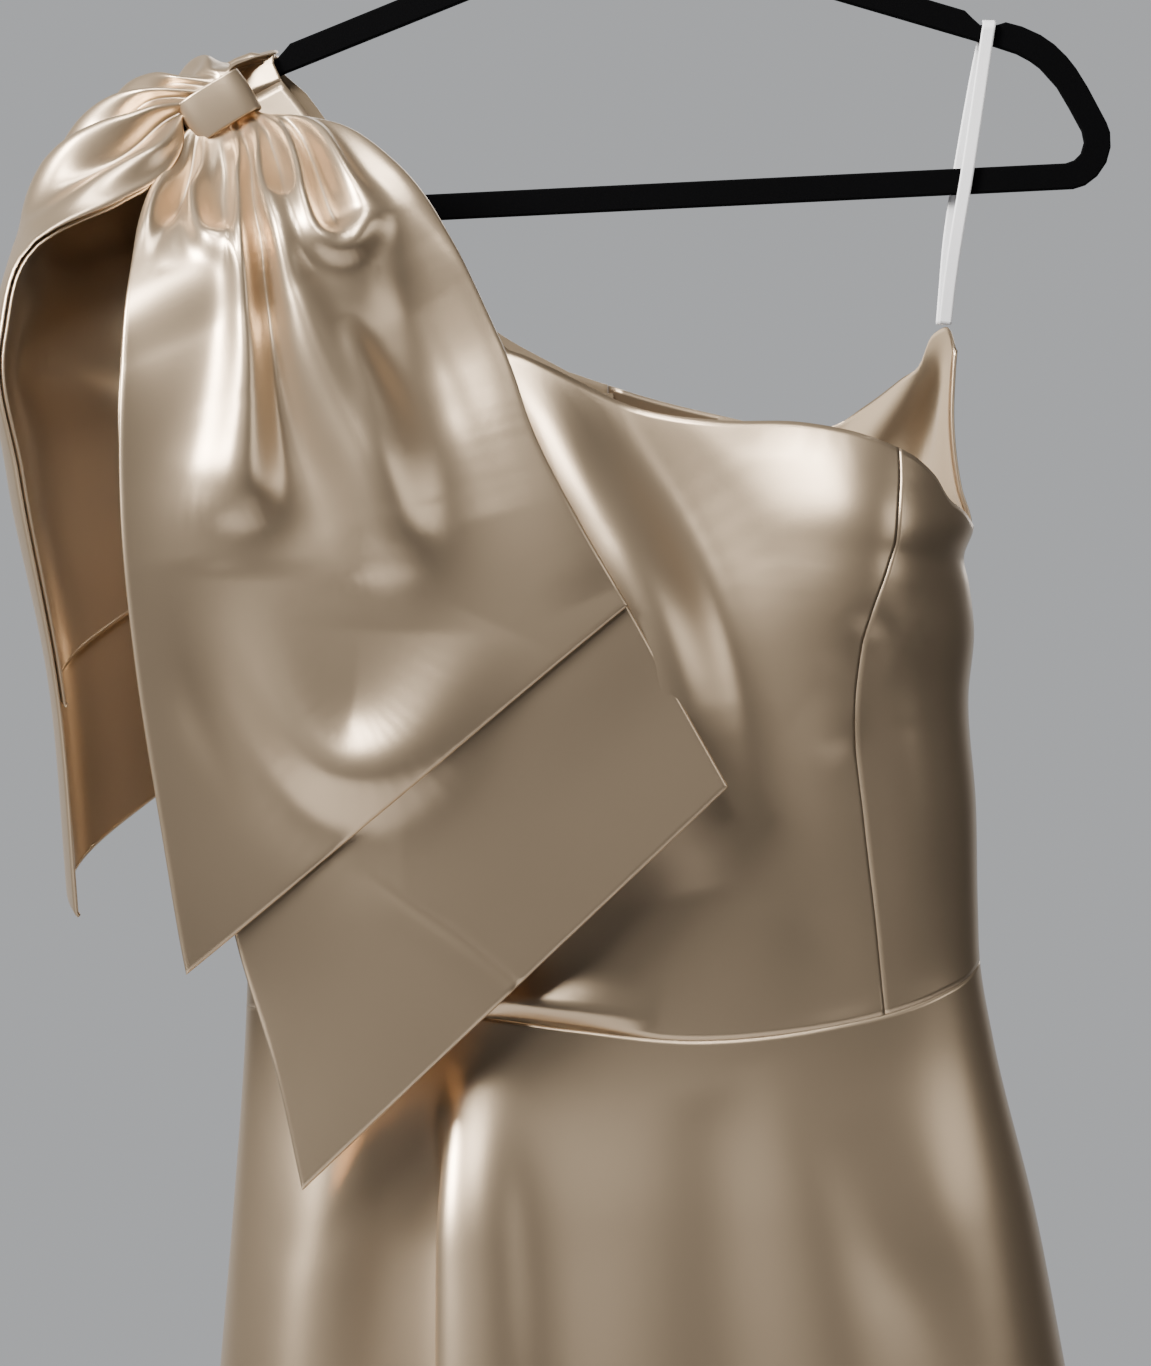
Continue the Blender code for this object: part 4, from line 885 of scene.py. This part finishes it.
sideCreases = [
    # along, across, half width, height
    [(-0.045, 0.06, 1.8, 0.7), (-0.08, 0.06, 4, 4), (-0.12, 0.07, 6, 6), (-0.18, 0.09, 9, 5),
     (-0.28, 0.13, 14, 0)],
    [(-0.045, 0.15, 1.5, -0.7), (-0.08, 0.15, 3, -4), (-0.14, 0.17, 5, -6), (-0.2, 0.2, 8, -4),
     (-0.28, 0.22, 12, 0)],
    [(-0.045, 0.24, 1.8, 0.7), (-0.08, 0.25, 4, 5), (-0.14, 0.3, 7, 7), (-0.2, 0.34, 11, 7),
     (-0.32, 0.38, 18, 0)],
    [(-0.045, 0.34, 1.5, -0.7), (-0.08, 0.35, 3, -4), (-0.13, 0.4, 5, -6), (-0.18, 0.44, 8, -4),
     (-0.24, 0.46, 10, 0)],
    [(-0.045, 0.43, 1.8, 0.7), (-0.08, 0.45, 4, 5), (-0.13, 0.5, 6, 6), (-0.19, 0.54, 10, 5),
     (-0.3, 0.58, 16, 0)],
    [(-0.045, 0.53, 1.5, -0.7), (-0.08, 0.55, 3, -4), (-0.12, 0.58, 5, -5), (-0.18, 0.62, 8, -4),
     (-0.26, 0.65, 10, 0)],
    [(-0.045, 0.62, 1.8, 0.7), (-0.08, 0.64, 3.5, 4), (-0.13, 0.67, 5, 6), (-0.19, 0.7, 8, 6),
     (-0.32, 0.74, 14, 0)],
    [(-0.045, 0.72, 1.5, -0.7), (-0.08, 0.73, 3, -4), (-0.13, 0.76, 4, -5), (-0.18, 0.79, 7, -4),
     (-0.25, 0.81, 9, 0)],
    [(-0.045, 0.81, 1.8, 0.7), (-0.08, 0.82, 3.5, 4), (-0.13, 0.84, 5, 6), (-0.19, 0.86, 7, 5),
     (-0.3, 0.88, 12, 0)],
    [(-0.045, 0.9, 1.5, -0.7), (-0.08, 0.91, 3, -4), (-0.13, 0.92, 4, -5), (-0.2, 0.93, 7, 0)],
    [(-0.55, 0.2, 18, 0), (-0.59, 0.42, 18, -4), (-0.64, 0.57, 18, -4), (-0.69, 0.72, 18, -2),
     (-0.72, 0.85, 18, 0)],
]
bowTable = [(row[0],) + tuple(np.ravel(row[1:])) for row in bowSections]


def bowGuide(along, across):
    # A cubic through the four guide lines, read along and across the strip
    lines = curveThrough(bowTable, along).reshape(np.shape(along) + (4, 3))
    t = across * 3
    weights = [
        -(t - 1) * (t - 2) * (t - 3) / 6, t * (t - 2) * (t - 3) / 2,
        -t * (t - 1) * (t - 3) / 2, t * (t - 1) * (t - 2) / 6,
    ]
    return sum(weight[..., None] * lines[..., k, :] for k, weight in enumerate(weights))


def bowNormals(along, across):
    # The way the strip faces; at the knot it is turned to the front, where the guide lines crowd
    step = 0.01
    down = bowGuide(along + step, across) - bowGuide(along - step, across)
    over = bowGuide(along, across + step) - bowGuide(along, across - step)
    normals = np.cross(down, over)
    normals /= np.linalg.norm(normals, axis=-1, keepdims=True)
    near = (1 - smooth((np.abs(along) - bowGrid["flatReach"]) / bowGrid["flatFade"]))[..., None]
    normals = normals * (1 - near) + np.array([0.0, -1.0, 0.0]) * near
    return normals / np.linalg.norm(normals, axis=-1, keepdims=True)


def edgeRoll(points):
    # The rim of a strip turns in a little, as a pressed fold does
    down = np.concatenate([[0], np.cumsum(np.linalg.norm(np.diff(points, axis=0), axis=-1).mean(axis=1))])
    over = np.cumsum(np.linalg.norm(np.diff(points, axis=1), axis=-1), axis=1)
    over = np.concatenate([np.zeros((len(points), 1)), over], axis=1)
    toEnd = np.minimum(down, down[-1] - down)[:, None]
    toSide = np.minimum(over, over[:, -1:] - over)
    near = 1 - np.clip(np.minimum(toEnd, toSide) / edgeSettings["reach"], 0, 1)
    return edgeSettings["depth"] * (1 - np.sqrt(1 - near**2 * edgeSettings["squareness"]))


def withEdges(first, last, count):
    # Even steps with closer ones at both ends, for the rolled rim
    margin = (last - first) * edgeSettings["margin"]
    inner = np.linspace(first + margin, last - margin, count)
    steps = np.array(edgeSettings["steps"]) * margin
    return np.concatenate([first + steps, inner, last - steps[::-1]])


def bowStrip(name):
    strip, knotFrom, knotTo = stripSettings[name], bowGrid["knotFrom"], bowGrid["knotTo"]
    rimRows = len(edgeSettings["steps"]) + 1  # left out where two stretches meet, the rim and one row more
    sideSteps = withEdges(strip["start"], knotFrom, bowGrid["sideRows"])[:-rimRows]
    frontSteps = withEdges(knotTo, strip["end"], bowGrid["frontRows"])[rimRows:]
    near = np.linspace(knotFrom, knotTo, bowGrid["knotRows"])
    along = np.concatenate([sideSteps, near, frontSteps])[:, None]
    across = withEdges(0, 1, bowGrid["columns"])[None, :] + 0 * along
    first = strip["firstEdge"] * smooth((along - bowGrid["narrowFrom"]) / bowGrid["narrowRun"])
    across = first + (1 - first) * across
    along = along + 0 * across
    guide, normals = bowGuide(along, across), bowNormals(along, across)
    frontFolds = creaseHeight(guide, frontCreases, bowGuide)
    folds = np.where(along > 0, frontFolds, creaseHeight(guide, sideCreases, bowGuide))
    grid = guide + normals * (folds - strip["depth"] - edgeRoll(guide))[..., None]
    sheetPiece(name, towardsFront, grid)


knotSettings = {
    "centre": (-181.5, -24.0, -171.5), "turn": 32.0, "halfLength": 17.5, "halfDepth": 8.6,
    "width": 21.0, "pinch": 0.04, "roundness": 0.8, "around": 97, "across": 25, "mergeWithin": 0.01,
}


def knotBand():
    turn = math.radians(knotSettings["turn"])
    lengthWay = np.array([math.cos(turn), 0, math.sin(turn)])
    depthWay = np.array([0, -1, 0])
    axis = np.array([math.sin(turn), 0, -math.cos(turn)])
    around = np.linspace(0, 2 * math.pi, knotSettings["around"])
    across = np.linspace(-0.5, 0.5, knotSettings["across"])[:, None]
    pinch = 1 - knotSettings["pinch"] * (2 * across) ** 2

    def rounded(half, wave):
        return half * pinch * np.sign(wave) * np.abs(wave) ** knotSettings["roundness"]

    length = rounded(knotSettings["halfLength"], np.cos(around)[None, :])
    depth = rounded(knotSettings["halfDepth"], np.sin(around)[None, :])
    width = across * knotSettings["width"] + 0 * length
    grid = (np.array(knotSettings["centre"]) + length[..., None] * lengthWay + depth[..., None] * depthWay
            + width[..., None] * axis)
    cloth = Cloth()
    cloth.add(grid)
    piece = cloth.build("bowKnot", towardsFront)
    shape = bmesh.new()
    shape.from_mesh(piece.data)
    bmesh.ops.remove_doubles(shape, verts=shape.verts, dist=knotSettings["mergeWithin"] * mm)
    bmesh.ops.recalc_face_normals(shape, faces=shape.faces)
    shape.to_mesh(piece.data)
    shape.free()


ribbonSize = {"width": 6.0, "steps": 160, "across": 7}
ribbonPath = [
    # x, y, z, up in front of the hanger's arm and down behind it
    (154.0, 1.2, -268.8), (156.0, -1.5, -250), (159.0, -3.9, -228), (164.0, -4.4, -198), (170.0, -4.3, -158),
    (173.0, -4.2, -137), (174.0, -3.9, -130.8), (174.2, 0.0, -128.2), (174.0, 3.9, -130.8),
    (172.2, 4.2, -137), (168.0, 4.3, -158), (161.0, 4.3, -198), (156.5, 4.2, -228), (154.5, 4.2, -250),
    (153.0, 4.1, -268.8),
]


def ribbonLoop():
    reach = np.linspace(0, 1, len(ribbonPath))
    table = [(float(place),) + row for place, row in zip(reach, ribbonPath)]
    path = curveThrough(table, np.linspace(0, 1, ribbonSize["steps"]))
    way = np.gradient(path, axis=0)
    way /= np.linalg.norm(way, axis=1, keepdims=True)
    flat = np.array([1.0, 0.0, 0.0])
    wide = flat[None, :] - way * (way @ flat)[:, None]
    wide /= np.linalg.norm(wide, axis=1, keepdims=True)
    out = np.cross(wide, way)
    across = np.linspace(-0.5, 0.5, ribbonSize["across"])[None, :, None]
    grid = path[:, None, :] + wide[:, None, :] * across * ribbonSize["width"]
    grid = grid + out[:, None, :] * clothSettings["ribbon"] / 2
    sheetPiece("ribbonLoop", towardsFront, grid)


def carriedNodes():
    # The hanger and the zip are the CAD nodes, with a finer finish; the zip takes the lining colour, which is
    # darkened as painted shade
    for node, look in (("hanger_frame", "flock"), ("hanger_hook", "metal"), ("back_zip", "lining")):
        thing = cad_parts[node]
        thing.data.materials.clear()
        thing.data.materials.append(looks[look])


# Camera, light and floor, in metres
cameraSettings = {"x": -0.0177, "distance": 2.0, "z": -0.4356, "lens": 113.47, "sensor": 36}
lightSettings = {
    # place, target, width, height, watts, colour
    "windowLight": ((-0.5, -1.8, 1.4), (0.0, 0.0, -0.95), 1.0, 0.6, 58, (1.0, 0.98, 0.95)),
    "keyLight": ((-1.7, -1.1, 0.75), (-0.05, -0.05, -0.4), 0.7, 0.9, 135, (1.0, 0.98, 0.95)),
    "fillLight": ((1.7, -0.9, 0.1), (0.0, 0.0, -0.5), 0.8, 0.8, 4, (1.0, 0.98, 0.95)),
    "topLight": ((-0.25, -0.6, 1.25), (-0.05, 0.0, -0.4), 0.7, 0.35, 14, (1.0, 0.99, 0.97)),
    "backLight": ((0.5, 1.8, 0.4), (0, 0, -0.5), 1.4, 1.4, 14, (1.0, 1.0, 1.0)),
}
worldSettings = {
    # the world is dark in front and light behind; ramp turns the way looked into a place between the two
    "horizon": (0.034, 0.034, 0.036), "wall": (0.44, 0.45, 0.465), "rampSlope": 2.0, "rampShift": 0.9,
}
floorSettings = {"height": -1.40, "size": 3.0, "colour": (0.5, 0.5, 0.51), "roughness": 0.8}


def addCamera():
    camera = bpy.data.objects.new("camera", bpy.data.cameras.new("camera"))
    camera.data.lens = cameraSettings["lens"]
    camera.data.sensor_width = cameraSettings["sensor"]
    camera.location = (cameraSettings["x"], -cameraSettings["distance"], cameraSettings["z"])
    camera.rotation_euler = (math.radians(90), 0, 0)
    bpy.context.scene.collection.objects.link(camera)
    bpy.context.scene.camera = camera


def addLamps():
    for name, (place, target, width, height, watts, colour) in lightSettings.items():
        light = bpy.data.lights.new(name, "AREA")
        light.shape = "RECTANGLE"
        light.size, light.size_y = width, height
        light.energy = watts
        light.color = colour
        lamp = bpy.data.objects.new(name, light)
        lamp.location = place
        lamp.rotation_euler = (Vector(target) - Vector(place)).to_track_quat("-Z", "Y").to_euler()
        bpy.context.scene.collection.objects.link(lamp)


def addWorld():
    world = bpy.data.worlds.new("studio")
    bpy.context.scene.world = world
    world.use_nodes = True
    nodes = NodeTree(world.node_tree)
    place = nodes.node("ShaderNodeTexCoord", output="Generated")
    behind = nodes.node("ShaderNodeSeparateXYZ", None, {0: place}, "Y")
    factor = behind * worldSettings["rampSlope"] - worldSettings["rampShift"]
    stops = [(0.0, worldSettings["horizon"]), (1.0, worldSettings["wall"])]
    settings = {"interpolation": "EASE", "stops": stops}
    ramp = nodes.node("ShaderNodeValToRGB", settings, {"Fac": factor}, "Color")
    world.node_tree.links.new(ramp.output, world.node_tree.nodes["Background"].inputs["Color"])


def addFloor():
    place = (0, 0, floorSettings["height"])
    bpy.ops.mesh.primitive_plane_add(size=floorSettings["size"], location=place)
    floor = bpy.context.object
    floor.name = "floor"
    floorLook = Look("floor", floorSettings["colour"], floorSettings["roughness"])
    floor.data.materials.append(floorLook.material)


addCamera()
addLamps()
addWorld()
addFloor()
print("stage: studio set")
frontPanels()
backLeftPanel()
backRightPanel()
print("stage: bodice made")
skirtPanels()
print("stage: skirt made")
bowStrip("bowUpper")
bowStrip("bowLower")
knotBand()
print("stage: bow made")
ribbonLoop()
carriedNodes()
print("stage: ribbon and hanger finished")

bpy.context.view_layer.update()
